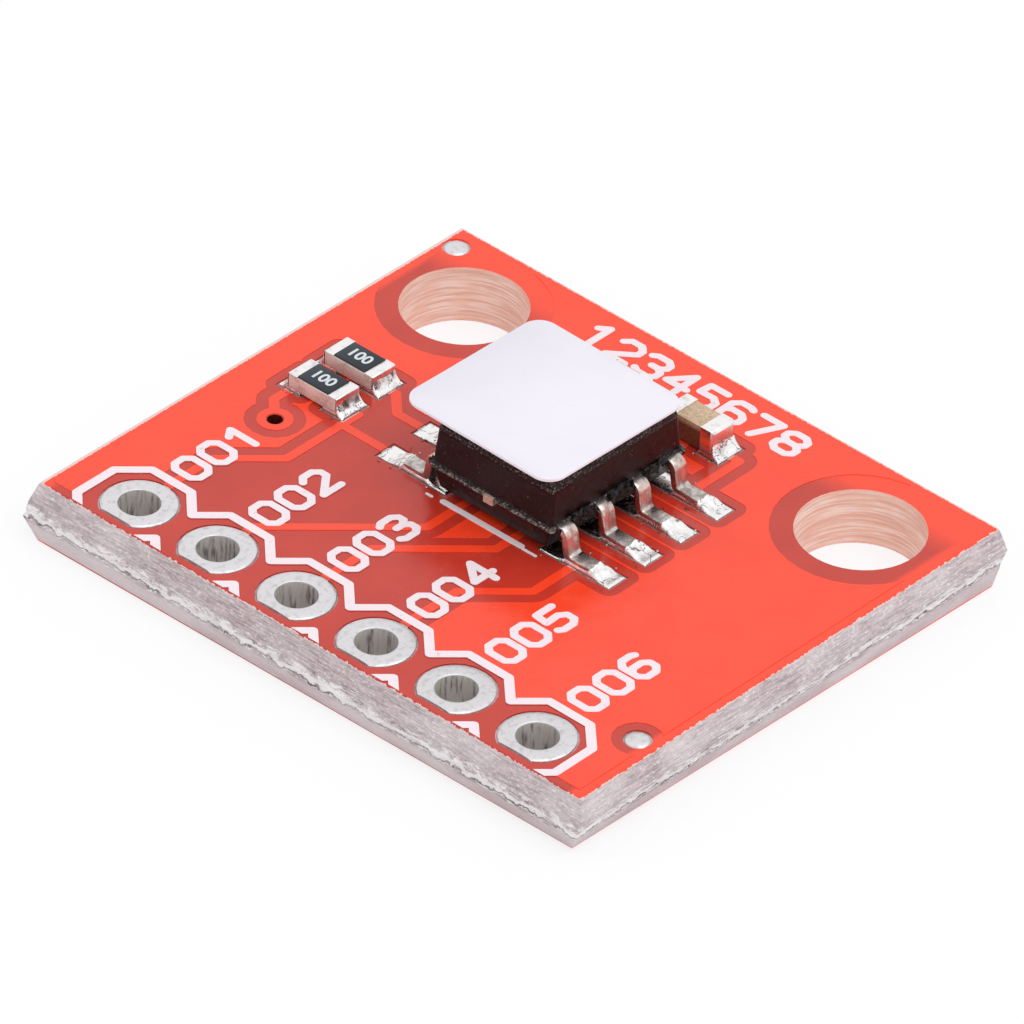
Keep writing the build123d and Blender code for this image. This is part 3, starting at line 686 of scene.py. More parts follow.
class BoardSettings(bpy.types.PropertyGroup):
    edge_cuts: IntProperty(
        name="Edge cuts", description="Cuts along each snapped edge", default=199, min=20, max=400
    )
    tear_depth: length_field("Tear depth", "How far the snapped web is torn in and out", 0.055)
    over_foil: colour_field("Mask over foil", "Colour of the solder mask over copper", 255, 68, 34)
    over_core: colour_field("Mask over core", "Colour of the solder mask over bare core", 196, 52, 36)
    core: colour_field("Core", "Colour of the snapped glass epoxy", 200, 183, 186)
    low_mask: length_field("Mask step", "How much lower the mask lies over bare core", 0.012)


class PrintSettings(bpy.types.PropertyGroup):
    ink: colour_field("Ink", "Colour of the print", 242, 228, 234)
    numeral_height: length_field("Numeral height", "Height of the printed numerals", 1.02)
    stroke: length_field("Stroke", "Width of the numerals' strokes", 0.20)


class MetalSettings(bpy.types.PropertyGroup):
    tin: colour_field("Tin", "Colour of tinned copper", 222, 220, 222)
    solder: colour_field("Solder", "Colour of solder", 244, 242, 242)
    lead: colour_field("Lead", "Colour of the leads", 205, 196, 192)
    ring_crown: length_field("Ring crown", "How high the tin stands over the mask", 0.02)


class PackageSettings(bpy.types.PropertyGroup):
    compound: colour_field("Compound", "Colour of the moulding compound", 20, 6, 7)
    film: colour_field("Film", "Colour of the filter film", 237, 234, 244)
    grain: length_field("Grain", "Roughness of the package's skin", 0.012)
    numeral: StringProperty(name="Resistor numeral", description="Digits on the resistor coats", default="100")


class StageSettings(bpy.types.PropertyGroup):
    surround: FloatProperty(name="Surround", description="Strength of the light all round", default=0.86, min=0.0)
    lamp: FloatProperty(name="Lamp", description="Power of the soft lamp above", default=0.62, unit="POWER")
    lens: FloatProperty(name="Lens", description="Focal length of the camera", default=466.595, unit="CAMERA")


# Pieces


class SENSORBOARD_OT_core(bpy.types.Operator):
    """The drilled core, its scored and snapped edges torn along the web"""

    bl_idname = "sensorboard.core"
    bl_label = "Board Core"

    def execute(self, context):
        s = context.scene.board_settings
        bm = joined("board_laminate")

        def walls():
            bm.normal_update()
            found = [f for f in bm.faces if abs(f.normal.z) < 0.95 and off_edge(f.calc_center_median()) < SCORED]
            if len(found) < 12:
                raise RuntimeError("the core's edge faces weren't found")
            return found

        def cut_across(rises, cuts):
            """Cuts the walls' edges whose two ends differ in height as asked."""
            edges = {e for f in walls() for e in f.edges}
            edges = [e for e in edges if rises(abs(e.verts[0].co.z - e.verts[1].co.z))]
            bmesh.ops.subdivide_edges(bm, edges=edges, cuts=cuts, use_grid_fill=True)

        upright = [e for e in bm.edges if e.is_manifold and all(abs(f.normal.z) < 0.95 for f in e.link_faces)]
        bmesh.ops.dissolve_limit(bm, angle_limit=math.radians(1), verts=[], edges=upright)
        cut_across(lambda rise: rise < 1e-7, s.edge_cuts)
        cut_across(lambda rise: rise > 1e-5, 7)
        moved = []
        for vert in bm.verts:
            p = vert.co
            if off_edge(p) > SCORED or not CORE_LOW.z + 1e-6 < p.z < CORE_HIGH.z - 1e-6:
                continue
            on_x = CORE_HALF.x - abs(p.x - CORE_MID.x) < CORE_HALF.y - abs(p.y - CORE_MID.y)
            along, side = (p.y, math.copysign(1, p.x)) if on_x else (p.x, math.copysign(1, p.y))
            seed = 3 * side + (7 if on_x else 0)
            web = clamp(min(p.z - WEB_LOW, WEB_HIGH - p.z) / (0.05 * MM))
            tear = 0.9 * ripple((along, 0, p.z * 5), 0.55, seed)
            tear += 0.8 * ripple((along, 0, p.z * 3), 0.16, seed + 1)
            fade = min(1.0, min(CORE_HIGH.z - p.z, p.z - CORE_LOW.z) / (0.22 * MM))
            cut = fade * ripple((along, 0, p.z * 4), 0.3, seed + 2)
            out = min(0.02 * MM, s.tear_depth * web * (tear - 0.45) + 0.011 * MM * cut)
            moved.append((vert, Vector((side * out, 0, 0)) if on_x else Vector((0, side * out, 0))))
        for vert, shift in moved:
            vert.co += shift
        for vert in bm.verts:
            vert.co += snapped(vert.co)
        mark_mount_walls(bm, 1.1)
        # the dark tone gives the specks and the painted shade of the torn web
        edge = laminate_finish("core_edge", tuple(s.core), tone(250, 246, 247), tone(140, 120, 120))
        drilled = drilled_finish("core_drilled", tone(250, 214, 198), tone(234, 186, 170))
        dress(bm, "core_torn", [edge, drilled], ["board_laminate"], sharp=50)
        return {"FINISHED"}


class SENSORBOARD_OT_fibres(bpy.types.Operator):
    """Glass fibres that stand out of the snapped web"""

    bl_idname = "sensorboard.fibres"
    bl_label = "Loose Fibres"

    def execute(self, context):
        rng = random.Random(11)
        bm = bmesh.new()
        sunk = 0.012 * MM  # how far a fibre's middle lies inside the web
        for _ in range(240):
            length, radius = rng.uniform(0.15, 0.5) * MM, rng.uniform(0.006, 0.013) * MM
            out = bmesh.ops.create_cone(
                bm, cap_ends=True, segments=5, radius1=radius, radius2=0.5 * radius, depth=length
            )["verts"]
            on_x = rng.random() < 0.46
            side = rng.choice((-1, 1))
            z = rng.uniform(0.52, 1.08) * MM
            lean = Matrix.Rotation(rng.uniform(-0.14, 0.14), 4, "Z")
            lean = lean @ Matrix.Rotation(rng.uniform(-0.2, 0.2), 4, "XY"[on_x])
            if on_x:
                place = Vector((side * (CORE_HIGH.x - sunk), rng.uniform(-0.96, 0.96) * 8.6 * MM, z))
            else:
                # the lower scores slipped towards the data end, so the torn web leans that way
                slip = 0.34 * (1.05 * MM - max(0.55 * MM, min(1.05 * MM, z)))
                place = Vector((rng.uniform(-0.96, 0.96) * CORE_HIGH.x, side * (SCORE_Y - sunk) + slip, z))
            turn = Matrix.Rotation(math.pi / 2, 4, "X" if on_x else "Y")
            place += snapped(place)
            bmesh.ops.transform(bm, matrix=Matrix.Translation(place) @ lean @ turn, verts=out)
        finish = ceramic_finish("glass_fibre", tone(238, 234, 236), tone(214, 206, 208), 0.03)
        dress(bm, "glass_fibres", [finish])
        return {"FINISHED"}


class SENSORBOARD_OT_masks(bpy.types.Operator):
    """Solder mask of both faces: a raised sheet over the foil and a lower one over the bare core"""

    bl_idname = "sensorboard.masks"
    bl_label = "Solder Masks"

    def execute(self, context):
        s = context.scene.board_settings
        over_foil = mask_finish("mask_over_foil", tuple(s.over_foil))
        # painted light: the mask over core is given the over-foil colour near the edges
        over_core = mask_finish("mask_over_core", tuple(s.over_core), tuple(s.over_foil), tone(228, 200, 196))
        lip = ceramic_finish("mask_lip", tone(250, 206, 194), tone(236, 176, 160))
        for face in ("top", "bottom"):
            mask, foil = f"{face}_solder_mask", f"{face}_copper"
            low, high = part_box(mask)
            foil_low, foil_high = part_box(foil)
            # the mask's outer face, the foil's outer face and the way into the board
            up = face == "top"
            skin, inner, into = (high.z, foil_high.z, -1) if up else (low.z, foil_low.z, 1)
            parts = []
            for operation in ("INTERSECT", "DIFFERENCE"):
                tool = joined(foil)
                for vert in tool.verts:
                    outward = (vert.co.z > (foil_low.z + foil_high.z) / 2) == up
                    vert.co.z = skin - into * 0.02 * MM if outward else inner - into * 0.2 * abs(skin - inner)
                parts.append(carved(joined(mask), tool, operation))
            sheet, rest = parts
            for vert in sheet.verts:
                vert.co.z = skin if abs(vert.co.z - skin) < 1e-6 else inner - into * 0.001 * MM
            bmesh.ops.remove_doubles(sheet, verts=sheet.verts, dist=0.012 * MM)
            outline = [e for e in turning(sheet, 40) if all(abs(v.co.z - skin) < 1e-7 for v in e.verts)]
            bevelled(sheet, outline, 0.006, 1)
            for vert in rest.verts:
                if abs(vert.co.z - skin) < 1e-6:
                    vert.co.z += into * s.low_mask
                elif abs(vert.co.z - inner) < 1e-6:
                    vert.co.z = CORE_HIGH.z if up else CORE_LOW.z
                if not up:
                    vert.co += snapped(vert.co)
            for part in parts:
                mark_mount_walls(part, 1.05)
            dress(sheet, f"{face}_mask_over_foil", [over_foil, lip])
            dress(rest, f"{face}_mask_over_core", [over_core, lip], [mask])
        return {"FINISHED"}


class SENSORBOARD_OT_rings(bpy.types.Operator):
    """Plated header holes: barrel with a crowned ring of tin on each face"""

    bl_idname = "sensorboard.rings"
    bl_label = "Header Rings"

    def execute(self, context):
        s = context.scene.metal_settings
        top, outer = MASK_TOP, RING_RADIUS
        # from which radius, how far out, how far above the mask and the share of the crown's height
        section = (
            (BORE, 0.003, -0.10, 0), (BORE, 0.006, -0.02, 0), (BORE, 0.014, 0, 0.35), (BORE, 0.030, 0, 0.85),
            (BORE, 0.07, 0, 1), (outer, -0.14, 0, 0.9), (outer, -0.05, 0, 0.45), (outer, -0.012, -0.008, 0),
            (outer, 0, -0.03, 0), (outer, 0, -0.058, 0), (BARREL, 0, -0.058, 0),
        )
        upper = [(r + out * MM, top + up * MM + share * s.ring_crown) for r, out, up, share in section]
        lower = [(r, max(0.0, top - z)) for r, z in reversed(upper)]
        profile = [(BORE, 0.35 * top), (BORE, 0.65 * top)] + upper + lower
        ring = tin_finish("ring_tin", tuple(s.tin), tone(206, 203, 205), 0.16, 0.5, depth=0.004)
        barrel = tin_finish(
            "barrel_tin", tone(214, 208, 204), tone(122, 116, 112), 0.10, 0.4, (1, 1, 7), 0.012, metallic=0.35
        )
        flat = RING_BOX[0].x - (RING_BOX[1].x - RING_RADIUS)
        for n, (x, y) in enumerate(PIN_PLACES, 1):
            bm = turned(profile, 72)
            whole = bm.verts[:] + bm.edges[:] + bm.faces[:]
            bmesh.ops.bisect_plane(bm, geom=whole, plane_co=(flat, 0, 0), plane_no=(-1, 0, 0), clear_outer=True)
            bmesh.ops.holes_fill(bm, edges=[e for e in bm.edges if e.is_boundary], sides=0)
            for vert in bm.verts:
                if vert.co.z > top and math.hypot(vert.co.x, vert.co.y) > BORE + 0.05 * MM:
                    vert.co.z += 0.006 * MM * ripple(vert.co, 0.35, 5 * n)
            bmesh.ops.translate(bm, vec=(x, y, 0), verts=bm.verts)
            for face in bm.faces:
                c = face.calc_center_median()
                face.material_index = 1 if math.hypot(c.x - x, c.y - y) < BORE + 0.006 * MM else 0
            dress(bm, f"header_ring_{n}", [ring, barrel], [f"header_hole_{n}"])
        paint("via_barrel", tin_finish("via_tin", tone(168, 74, 60), tone(112, 44, 36), 0.08, 0.5, (1, 1, 4)))
        for side in ("lower", "upper"):
            low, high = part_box(f"fiducial_{side}")
            radius, mid = (high.x - low.x) / 2, (low + high) / 2
            dome = [
                (share * radius, high.z + up * MM)
                for share, up in ((0.45, 0.013), (0.78, 0.004), (0.94, -0.014), (1, -0.034))
            ]
            axis = 0.0001 * MM
            bm = turned([(axis, high.z + 0.016 * MM), *dome, (radius, low.z), (axis, low.z)], 40)
            bmesh.ops.translate(bm, vec=(mid.x, mid.y, 0), verts=bm.verts)
            dress(bm, f"placement_dot_{side}", [ring], [f"fiducial_{side}"])
        for node in ("top_copper", "bottom_copper"):
            paint(node, tin_finish(f"{node}_tin", tone(214, 206, 200), tone(176, 164, 156), 0.2, 0.35))
        return {"FINISHED"}


class SENSORBOARD_OT_legend(bpy.types.Operator):
    """Printed frame and mark, plain numerals beside the pins and a plain scale along the far edge"""

    bl_idname = "sensorboard.legend"
    bl_label = "Printed Legend"

    def execute(self, context):
        s = context.scene.print_settings
        ink = print_finish("print_ink", tuple(s.ink), tone(236, 150, 134))
        paint("top_silkscreen", ink)
        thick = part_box("top_silkscreen")[1].z - MASK_TOP
        bm = bmesh.new()
        lines = [(f"00{n}", -4.78, foot, 0.0) for n, foot in enumerate((5.92, 3.40, 0.86, -1.68, -4.15, -6.74), 1)]
        for text, x, y, angle in [*lines, ("12345678", 5.86, 3.52, -math.pi / 2)]:
            print_numeral(bm, text, x * MM, y * MM, angle, s.numeral_height, s.stroke, thick)
        dress(bm, "printed_numerals", [ink])
        return {"FINISHED"}


class SENSORBOARD_OT_package(bpy.types.Operator):
    """The moulded sensor package with its drafted halves, flash line, rough rim and open well"""

    bl_idname = "sensorboard.package"
    bl_label = "Sensor Package"

    def shell(self, s):
        mid, half, foot = PACKAGE_MID, PACKAGE_HALF, PACKAGE_LOW.z
        # height above the foot, inset along X and inset along Y, in millimetres from the flash's outer edge
        stages = [(0.0, 0.17, 0.28), (0.02, 0.16, 0.27)]
        stages += [(0.02 + 0.054 * i, 0.16 - 0.07 * i / 10, 0.27 - 0.18 * i / 10) for i in range(1, 11)]
        stages += [(0.575, 0.05, 0.05), (0.60, 0.0, 0.0), (0.64, 0.0, 0.0), (0.665, 0.05, 0.05)]
        stages += [(0.68, 0.09, 0.09)]
        stages += [(0.68 + 0.062 * i, 0.09 + 0.09 * i / 16, 0.09 + 0.07 * i / 16) for i in range(1, 17)]
        stages += [(1.71, 0.19, 0.17), (1.75, 0.20, 0.18), (1.79, 0.215, 0.195), (1.83, 0.235, 0.215)]
        stages += [(1.87, 0.25, 0.23), (1.89, 0.28, 0.26)]
        well_x, well_y, well_floor = 1.5 * MM, 1.05 * MM, 0.67 * MM
        bm = plate(half.x, half.y, 0.09, 3, 72)
        loop = bm.edges[:]
        scale = (1.0, 1.0)
        for n, (up, in_x, in_y) in enumerate(stages):
            goal = ((half.x - in_x * MM) / half.x, (half.y - in_y * MM) / half.y)
            factor = (goal[0] / scale[0], goal[1] / scale[1])

            def step(p):
                return (p.x * factor[0], p.y * factor[1], up * MM)

            if n == 0:
                for vert in bm.verts:
                    vert.co = step(vert.co)
            else:
                loop = raised(bm, loop, step)
            scale = goal
        well = (well_x / (half.x * scale[0]), well_y / (half.y * scale[1]))
        top = stages[-1][0] * MM
        loop = raised(bm, loop, lambda p: (p.x * well[0], p.y * well[1], top))
        loop = raised(bm, loop, lambda p: (p.x, p.y, well_floor))
        bmesh.ops.contextual_create(bm, geom=loop)
        bmesh.ops.translate(bm, vec=(mid.x, mid.y, foot), verts=bm.verts)
        for vert in bm.verts:
            p = vert.co
            side = Vector((p.x - mid.x, p.y - mid.y, 0))
            if max(abs(side.x) / half.x, abs(side.y) / half.y) < 0.8 or p.z < foot + 0.01 * MM:
                continue
            on_x = abs(side.x) / half.x > abs(side.y) / half.y
            out = Vector((side.x, 0, 0)) if on_x else Vector((0, side.y, 0))
            up = (p.z - foot) / MM
            # the rim and the flash are rougher than the walls
            rough = 1.0 + (2.6 if up > 1.70 else 0.0) + (2.2 if 0.56 < up < 0.69 else 0.0)
            shift = 0.6 * ripple(p, 0.14, 2) + 0.6 * ripple(p, 0.06, 6)
            p += out.normalized() * s.grain * rough * min(0.9, shift)
        bands = ((2.34, 2.52), (3.42, 3.8))
        skin = moulded_finish("package_skin", tuple(s.compound), tone(196, 178, 172), 0.34, 0.006, bands)
        dress(bm, "package_shell", [skin], ["sensor_body"], sharp=60)

    def flash(self):
        """The torn plastic left between the leads where the dam bar was cut away."""
        bm = bmesh.new()
        rng = random.Random(5)
        leads = [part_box(f"lead_solder_{n}") for n in (1, 2, 3, 4)]
        leads = [(low.x + high.x) / 2 - LEAD_SHIFT for low, high in leads]
        split = PACKAGE_LOW.z + FLASH
        for side in (-1, 1):
            wall = PACKAGE_MID.y + side * (PACKAGE_HALF.y - 0.08 * MM)
            for left, right in zip(leads, leads[1:]):
                near, far = sorted((wall, wall + side * (rng.uniform(0.12, 0.19) * MM)))
                foot = split - rng.uniform(0.05, 0.09) * MM
                head = split + rng.uniform(0.03, 0.07) * MM
                for vert in block(bm, (left + LEAD_GAP, near, foot), (right - LEAD_GAP, far, head), 9):
                    vert.co.y += side * 0.05 * MM * ripple(vert.co, 0.16, 8)
                    vert.co.z += 0.035 * MM * ripple(vert.co, 0.11, 12)
            for x, sign in ((leads[0], -1), (leads[-1], 1)):
                left, right = sorted((x + sign * LEAD_GAP, x + sign * 0.36 * MM))
                near, far = sorted((wall, wall + side * 0.11 * MM))
                for vert in block(bm, (left, near, split - 0.05 * MM), (right, far, split + 0.05 * MM), 5):
                    vert.co += Vector((0, side, 1)) * 0.03 * MM * ripple(vert.co, 0.09, 3)
        rough = moulded_finish("flash_skin", tone(20, 12, 12), tone(140, 124, 118), 0.42, 0.02)
        dress(bm, "dam_bar_flash", [rough], sharp=60)

    def execute(self, context):
        self.shell(context.scene.package_settings)
        self.flash()
        paddle = tin_finish("paddle_metal", tone(206, 176, 160), tone(128, 100, 90), 0.05, 0.45, metallic=0.15)
        paint("die_paddle", paddle)
        die = ceramic_finish("die_silicon", tone(92, 94, 104), tone(66, 68, 78), 0.05)
        for node in ("humidity_die", "signal_die"):
            paint(node, die)
        paint("bond_wires", tin_finish("wire_gold", tone(232, 190, 96), tone(196, 150, 70), 0.05, 0.25))
        return {"FINISHED"}


class SENSORBOARD_OT_film(bpy.types.Operator):
    """The white filter film, its rounded corners and soft cut edge"""

    bl_idname = "sensorboard.film"
    bl_label = "Filter Film"

    def execute(self, context):
        s = context.scene.package_settings
        low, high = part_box("filter_film")
        mid, half, thick = (low + high) / 2, (high - low) / 2, high.z - low.z
        # the film is stuck on slightly askew, so it is a little smaller than its box
        turn, shrink, soft = math.radians(-1.0), 0.035 * MM, 0.012 * MM
        bm = plate(half.x - shrink, half.y - shrink, 0.50, 12, 24)
        loop = raised(bm, bm.edges[:], lambda p: (p.x, p.y, thick - soft))
        loop = raised(bm, loop, lambda p: (p.x * (1 - soft / half.x), p.y * (1 - soft / half.y), thick))
        bmesh.ops.contextual_create(bm, geom=loop)
        for vert in bm.verts:
            vert.co.x += 0.007 * MM * ripple((vert.co.x, vert.co.y, 0), 0.9, 3)
            vert.co.y += 0.007 * MM * ripple((vert.co.x, vert.co.y, 0), 0.9, 7)
        place = Matrix.Translation((mid.x, mid.y, low.z)) @ Matrix.Rotation(turn, 4, "Z")
        bmesh.ops.transform(bm, matrix=place, verts=bm.verts)
        felt = film_finish("film_felt", tuple(s.film))
        dress(bm, "film_sheet", [felt], ["filter_film"], sharp=50)
        return {"FINISHED"}


class SENSORBOARD_OT_leads(bpy.types.Operator):
    """The eight formed leads with stamped, rounded edges"""

    bl_idname = "sensorboard.leads"
    bl_label = "Leads"

    def execute(self, context):
        plating = lead_finish("lead_plating", tuple(context.scene.metal_settings.lead))
        for n in range(1, 9):
            eased(f"sensor_lead_{n}", f"formed_lead_{n}", plating, 0.022, angle=50, sharp=45)
        return {"FINISHED"}


class SENSORBOARD_OT_solder(bpy.types.Operator):
    """Solder of the leads and of the chip parts, drawn up where it wets the metal"""

    bl_idname = "sensorboard.solder"
    bl_label = "Solder Joints"

    def lead_joint(self, n, finish):
        low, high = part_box(f"lead_solder_{n}")
        lead = NODES[f"sensor_lead_{n}"].data
        side = -1 if low.y < 0 else 1
        tip = max(side * v.co.y for v in lead.vertices)
        toe = [v.co.x for v in lead.vertices if side * v.co.y > tip - 0.02 * MM]
        mid, half_foot, foot_length = (min(toe) + max(toe)) / 2, 0.205 * MM, 0.72 * MM
        heel, end = sorted((side * tip, side * (tip - foot_length)))
        foot = ((mid - half_foot, heel), (mid + half_foot, end))
        grow = 0.028 * MM
        a, b = (low.x - grow, low.y - grow), (high.x + grow, high.y + grow)

        def height(x, y):
            """A skin over the land, drawn up at the foot's sides, with a bead before its toe."""
            reach = side * y - tip
            lump = 1 + 0.30 * ripple((x, y, 0), 0.22, 3 * n) + 0.12 * ripple((x, y, 0), 0.09, n)
            rise = 0.15 * MM * math.exp(-gap_to(x, y, *foot) / (0.11 * MM))
            bead = 0.0
            if reach > -0.2 * MM:
                bead = 0.075 * MM * math.exp(-((reach - 0.16 * MM) / (0.17 * MM)) ** 2)
            return (0.030 * MM + (rise + bead) * lump) * rim_round(x, y, a, b, 0.085 * MM)

        bm = bmesh.new()
        fillet_field(bm, a, b, height)
        dress(bm, f"lead_joint_{n}", [finish], [f"lead_solder_{n}"], sharp=60)

    def chip_joints(self, part, finish):
        low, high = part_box(f"{part}_solder")
        inner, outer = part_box(f"{part}_ends")
        mid_x, mid_y = (low.x + high.x) / 2, (low.y + high.y) / 2
        rise = (0.30 if part.startswith("resistor") else 0.34) * MM
        start, half_land, past_end = 0.36 * MM, 0.445 * MM, 0.03 * MM
        bm = bmesh.new()
        for side in (-1, 1):
            near, far = sorted((mid_y + side * start, mid_y + side * (high.y - mid_y + past_end)))
            a, b = (mid_x - half_land, near), (mid_x + half_land, far)

            def height(x, y):
                """A skin over the land, drawn up the chip's end face and less at its sides."""
                lump = 1 + 0.25 * ripple((x, y, 0), 0.20, 7 + side)
                beside = max(inner.x - x, x - outer.x) > 0 and inner.y < y < outer.y
                climb = rise * (0.45 if beside else 1.0) * math.exp(-gap_to(x, y, inner, outer) / (0.10 * MM))
                under = inner.x < x < outer.x and inner.y + 0.02 * MM < y < outer.y - 0.02 * MM
                return (0.024 * MM + (0.0 if under else climb * lump)) * rim_round(x, y, a, b, 0.08 * MM)

            fillet_field(bm, a, b, height)
        dress(bm, f"{part}_joints", [finish], [f"{part}_solder"], sharp=60)

    def execute(self, context):
        colour = tuple(context.scene.metal_settings.solder)
        # creases=True darkens the joints' creases with painted shade
        bright = tin_finish("joint_solder", colour, tone(214, 210, 209), 0.20, 0.24, creases=True)
        for n in range(1, 9):
            self.lead_joint(n, bright)
        for part in CHIP_PARTS:
            self.chip_joints(part, bright)
        return {"FINISHED"}


class SENSORBOARD_OT_chips(bpy.types.Operator):
    """Chip resistors and capacitors with rounded plated ends, coats and digits"""

    bl_idname = "sensorboard.chips"
    bl_label = "Chip Parts"

    def digits(self, context, n, finish):
        curve = bpy.data.curves.new("digits", "FONT")
        curve.body = context.scene.package_settings.numeral
        curve.size, curve.offset, curve.extrude = 0.46 * MM, 0.012 * MM, 0.003 * MM
        curve.align_x = curve.align_y = "CENTER"
        carrier = placed("digits", curve)
        flat = bpy.data.meshes.new_from_object(carrier.evaluated_get(context.evaluated_depsgraph_get()))
        low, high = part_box(f"resistor_{n}_coat")
        place = Matrix.Translation(((low.x + high.x) / 2, (low.y + high.y) / 2, high.z + 0.002 * MM))
        flat.transform(place @ Matrix.Rotation(-math.pi / 2, 4, "Z"))
        bm = bmesh.new()
        bm.from_mesh(flat)
        bpy.data.objects.remove(carrier)
        bpy.data.curves.remove(curve)
        bmesh.ops.remove_doubles(bm, verts=bm.verts, dist=0.0002 * MM)
        dress(bm, f"resistor_{n}_digits", [finish])

    def execute(self, context):
        solder = tuple(context.scene.metal_settings.solder)
        ends = tin_finish("end_plating", solder, tone(212, 206, 205), 0.30, 0.30, depth=0.003)
        white = ceramic_finish("alumina", tone(226, 204, 196), tone(188, 160, 150))
        coat = moulded_finish("resistor_glaze", tone(44, 50, 58), tone(96, 104, 112), 0.3, 0.005)
        # the capacitors' sides carry painted shade
        brown = fired_finish("fired_ceramic")
        ink = print_finish("resistor_digits", tone(214, 222, 228), tone(120, 128, 136))
        for n in (1, 2):
            part = f"resistor_{n}"
            eased(f"{part}_ceramic", f"{part}_body", white, 0.012)
            eased(f"{part}_ends", f"{part}_caps", ends, 0.013)
            eased(f"{part}_coat", f"{part}_glaze", coat, 0.010, angle=30)
            self.digits(context, n, ink)
            part = f"capacitor_{n}"
            eased(f"{part}_ceramic", f"{part}_body", brown, 0.02)
            eased(f"{part}_ends", f"{part}_caps", ends, 0.028, 3, angle=30)
        return {"FINISHED"}


class SENSORBOARD_OT_flux(bpy.types.Operator):
    """Dried flux and solder specks between the lands"""

    bl_idname = "sensorboard.flux"
    bl_label = "Flux Specks"

    def execute(self, context):
        rng = random.Random(23)
        amber, grey = bmesh.new(), bmesh.new()
        for part in [f"lead_solder_{n}" for n in range(1, 9)] + [f"{part}_solder" for part in CHIP_PARTS]:
            low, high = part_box(part)
            for _ in range(9):
                x = rng.choice((low.x - rng.uniform(0.03, 0.22) * MM, high.x + rng.uniform(0.03, 0.22) * MM))
                y = rng.uniform(low.y, high.y)
                radius = rng.uniform(0.012, 0.038) * MM
                bm = amber if rng.random() < 0.7 else grey
                out = bmesh.ops.create_icosphere(bm, subdivisions=2, radius=radius)["verts"]
                bmesh.ops.scale(bm, vec=(1, rng.uniform(0.7, 1.5), 0.45), verts=out)
                bmesh.ops.translate(bm, vec=(x, y, MASK_TOP), verts=out)
        dress(amber, "flux_drops", [resin_finish("dried_flux", tone(150, 66, 40))])
        ball = tin_finish("solder_ball", tone(200, 190, 186), tone(140, 132, 128), 0.05, 0.3)
        dress(grey, "solder_specks", [ball])
        return {"FINISHED"}


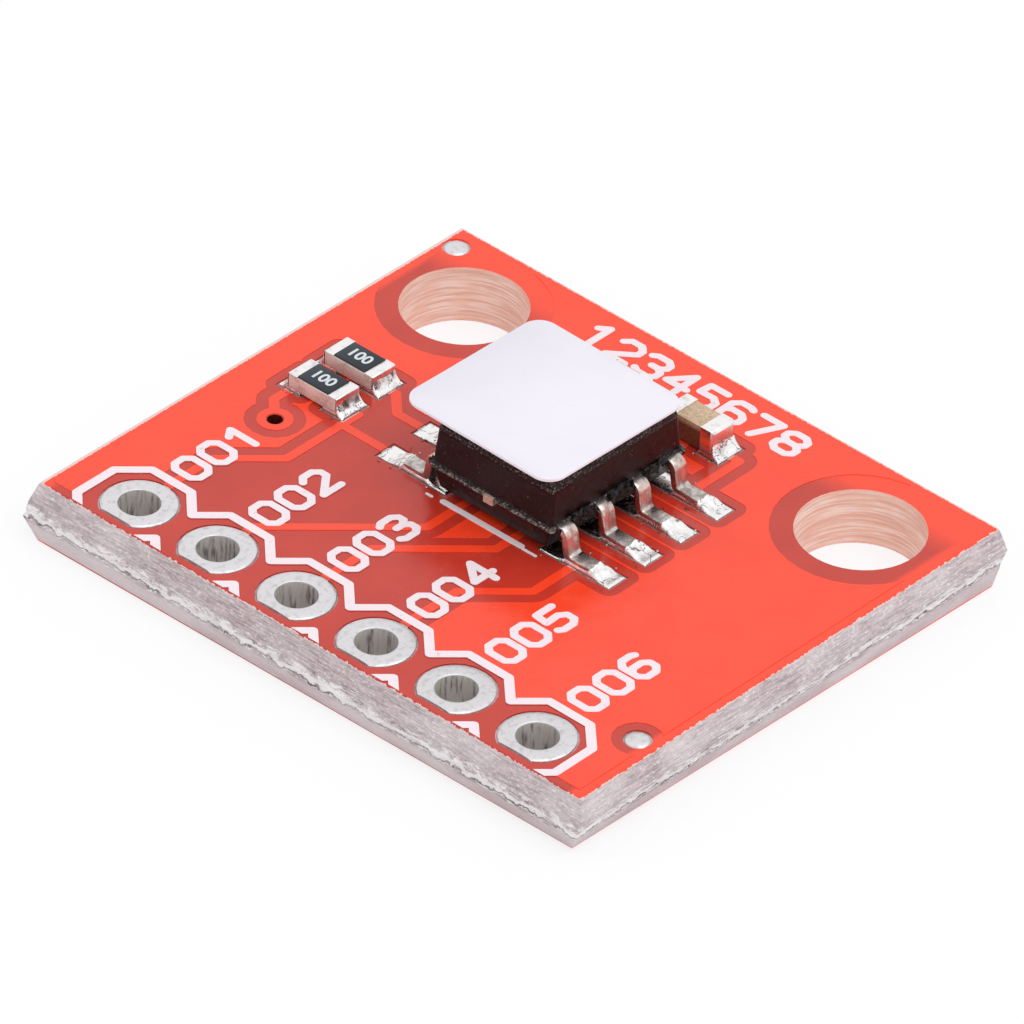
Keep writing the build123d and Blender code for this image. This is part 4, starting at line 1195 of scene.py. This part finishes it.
class SENSORBOARD_OT_stage(bpy.types.Operator):
    """White floor, soft light all round and the camera at the photograph's angle"""

    bl_idname = "sensorboard.stage"
    bl_label = "Stage"

    def floor(self):
        bm = bmesh.new()
        bmesh.ops.create_grid(bm, x_segments=1, y_segments=1, size=1.5)
        mesh = bpy.data.meshes.new("floor")
        bm.to_mesh(mesh)
        bm.free()
        floor = placed("floor", mesh)
        floor.location.z = CAD_BOX[0][2] - 0.002 * MM
        paper = bpy.data.materials.new("floor_paper")
        paper.use_nodes = True
        tree = paper.node_tree
        shader = tree.nodes["Principled BSDF"]
        shader.inputs["Base Color"].default_value = (0.94, 0.935, 0.94, 1)
        shader.inputs["Roughness"].default_value = 0.9
        # the paper glows where it is seen, so that it comes out white behind the board's own shadow
        glow = tree.nodes.new("ShaderNodeEmission")
        glow.inputs["Strength"].default_value = 1.0
        seen = tree.nodes.new("ShaderNodeMath")
        seen.operation = "MULTIPLY"
        seen.inputs[1].default_value = 0.78
        blend = tree.nodes.new("ShaderNodeMixShader")
        surface = tree.nodes["Material Output"].inputs["Surface"]
        for source, target in (
            (seen_direct(tree), seen.inputs[0]), (seen.outputs[0], blend.inputs[0]),
            (shader.outputs[0], blend.inputs[1]), (glow.outputs[0], blend.inputs[2]), (blend.outputs[0], surface),
        ):
            tree.links.new(source, target)
        mesh.materials.append(paper)

    def surround(self, scene, strength):
        world = bpy.data.worlds.new("studio")
        world.use_nodes = True
        tree = world.node_tree
        back = tree.nodes["Background"]
        back.inputs["Color"].default_value = (1, 1, 1, 1)
        level = tree.nodes.new("ShaderNodeMapRange")
        level.inputs["To Min"].default_value = strength
        level.inputs["To Max"].default_value = 1.0
        tree.links.new(seen_direct(tree), level.inputs["Value"])
        tree.links.new(level.outputs["Result"], back.inputs["Strength"])
        scene.world = world

    def execute(self, context):
        scene = context.scene
        s = scene.stage_settings
        self.floor()
        self.surround(scene, s.surround)
        lamp = bpy.data.lights.new("soft_lamp", "AREA")
        lamp.energy = s.lamp
        lamp.size = 0.35
        holder = placed("soft_lamp", lamp)
        holder.location = (0.02, -0.20, 0.42)
        holder.rotation_euler = (-holder.location).to_track_quat("-Z", "Y").to_euler()
        camera = bpy.data.cameras.new("camera")
        camera.lens = s.lens
        camera.sensor_width = 36
        camera.clip_start, camera.clip_end = 0.01, 10
        viewer = placed("camera", camera)
        viewer.location = (-0.19098058, -0.16431809, 0.18820941)
        viewer.rotation_euler = (0.93214295, -0.03760159, -0.83173335)
        scene.camera = viewer
        scene.view_settings.view_transform = "Standard"
        return {"FINISHED"}


PIECES = (
    SENSORBOARD_OT_core,
    SENSORBOARD_OT_fibres,
    SENSORBOARD_OT_masks,
    SENSORBOARD_OT_rings,
    SENSORBOARD_OT_legend,
    SENSORBOARD_OT_package,
    SENSORBOARD_OT_film,
    SENSORBOARD_OT_leads,
    SENSORBOARD_OT_solder,
    SENSORBOARD_OT_chips,
    SENSORBOARD_OT_flux,
    SENSORBOARD_OT_stage,
)
SETTINGS = {
    "board_settings": BoardSettings,
    "print_settings": PrintSettings,
    "metal_settings": MetalSettings,
    "package_settings": PackageSettings,
    "stage_settings": StageSettings,
}


class SENSORBOARD_PT_panel(bpy.types.Panel):
    """Lists the pieces of the sensor board"""

    bl_label = "Sensor Board"
    bl_space_type = "VIEW_3D"
    bl_region_type = "UI"
    bl_category = "Sensor Board"

    def draw(self, context):
        for piece in PIECES:
            self.layout.operator(piece.bl_idname)
        for name, group in SETTINGS.items():
            box = self.layout.box()
            box.label(text=name.replace("_", " ").capitalize())
            for field in group.__annotations__:
                box.prop(getattr(context.scene, name), field)


def register():
    for group in SETTINGS.values():
        bpy.utils.register_class(group)
    for name, group in SETTINGS.items():
        setattr(bpy.types.Scene, name, PointerProperty(type=group))
    for thing in PIECES + (SENSORBOARD_PT_panel,):
        bpy.utils.register_class(thing)


def unregister():
    for thing in reversed(PIECES + (SENSORBOARD_PT_panel,)):
        bpy.utils.unregister_class(thing)
    for name, group in SETTINGS.items():
        delattr(bpy.types.Scene, name)
        bpy.utils.unregister_class(group)


def main():
    register()
    for piece in PIECES:
        category, name = piece.bl_idname.split(".")
        getattr(getattr(bpy.ops, category), name)()


if __name__ == "__main__":
    main()
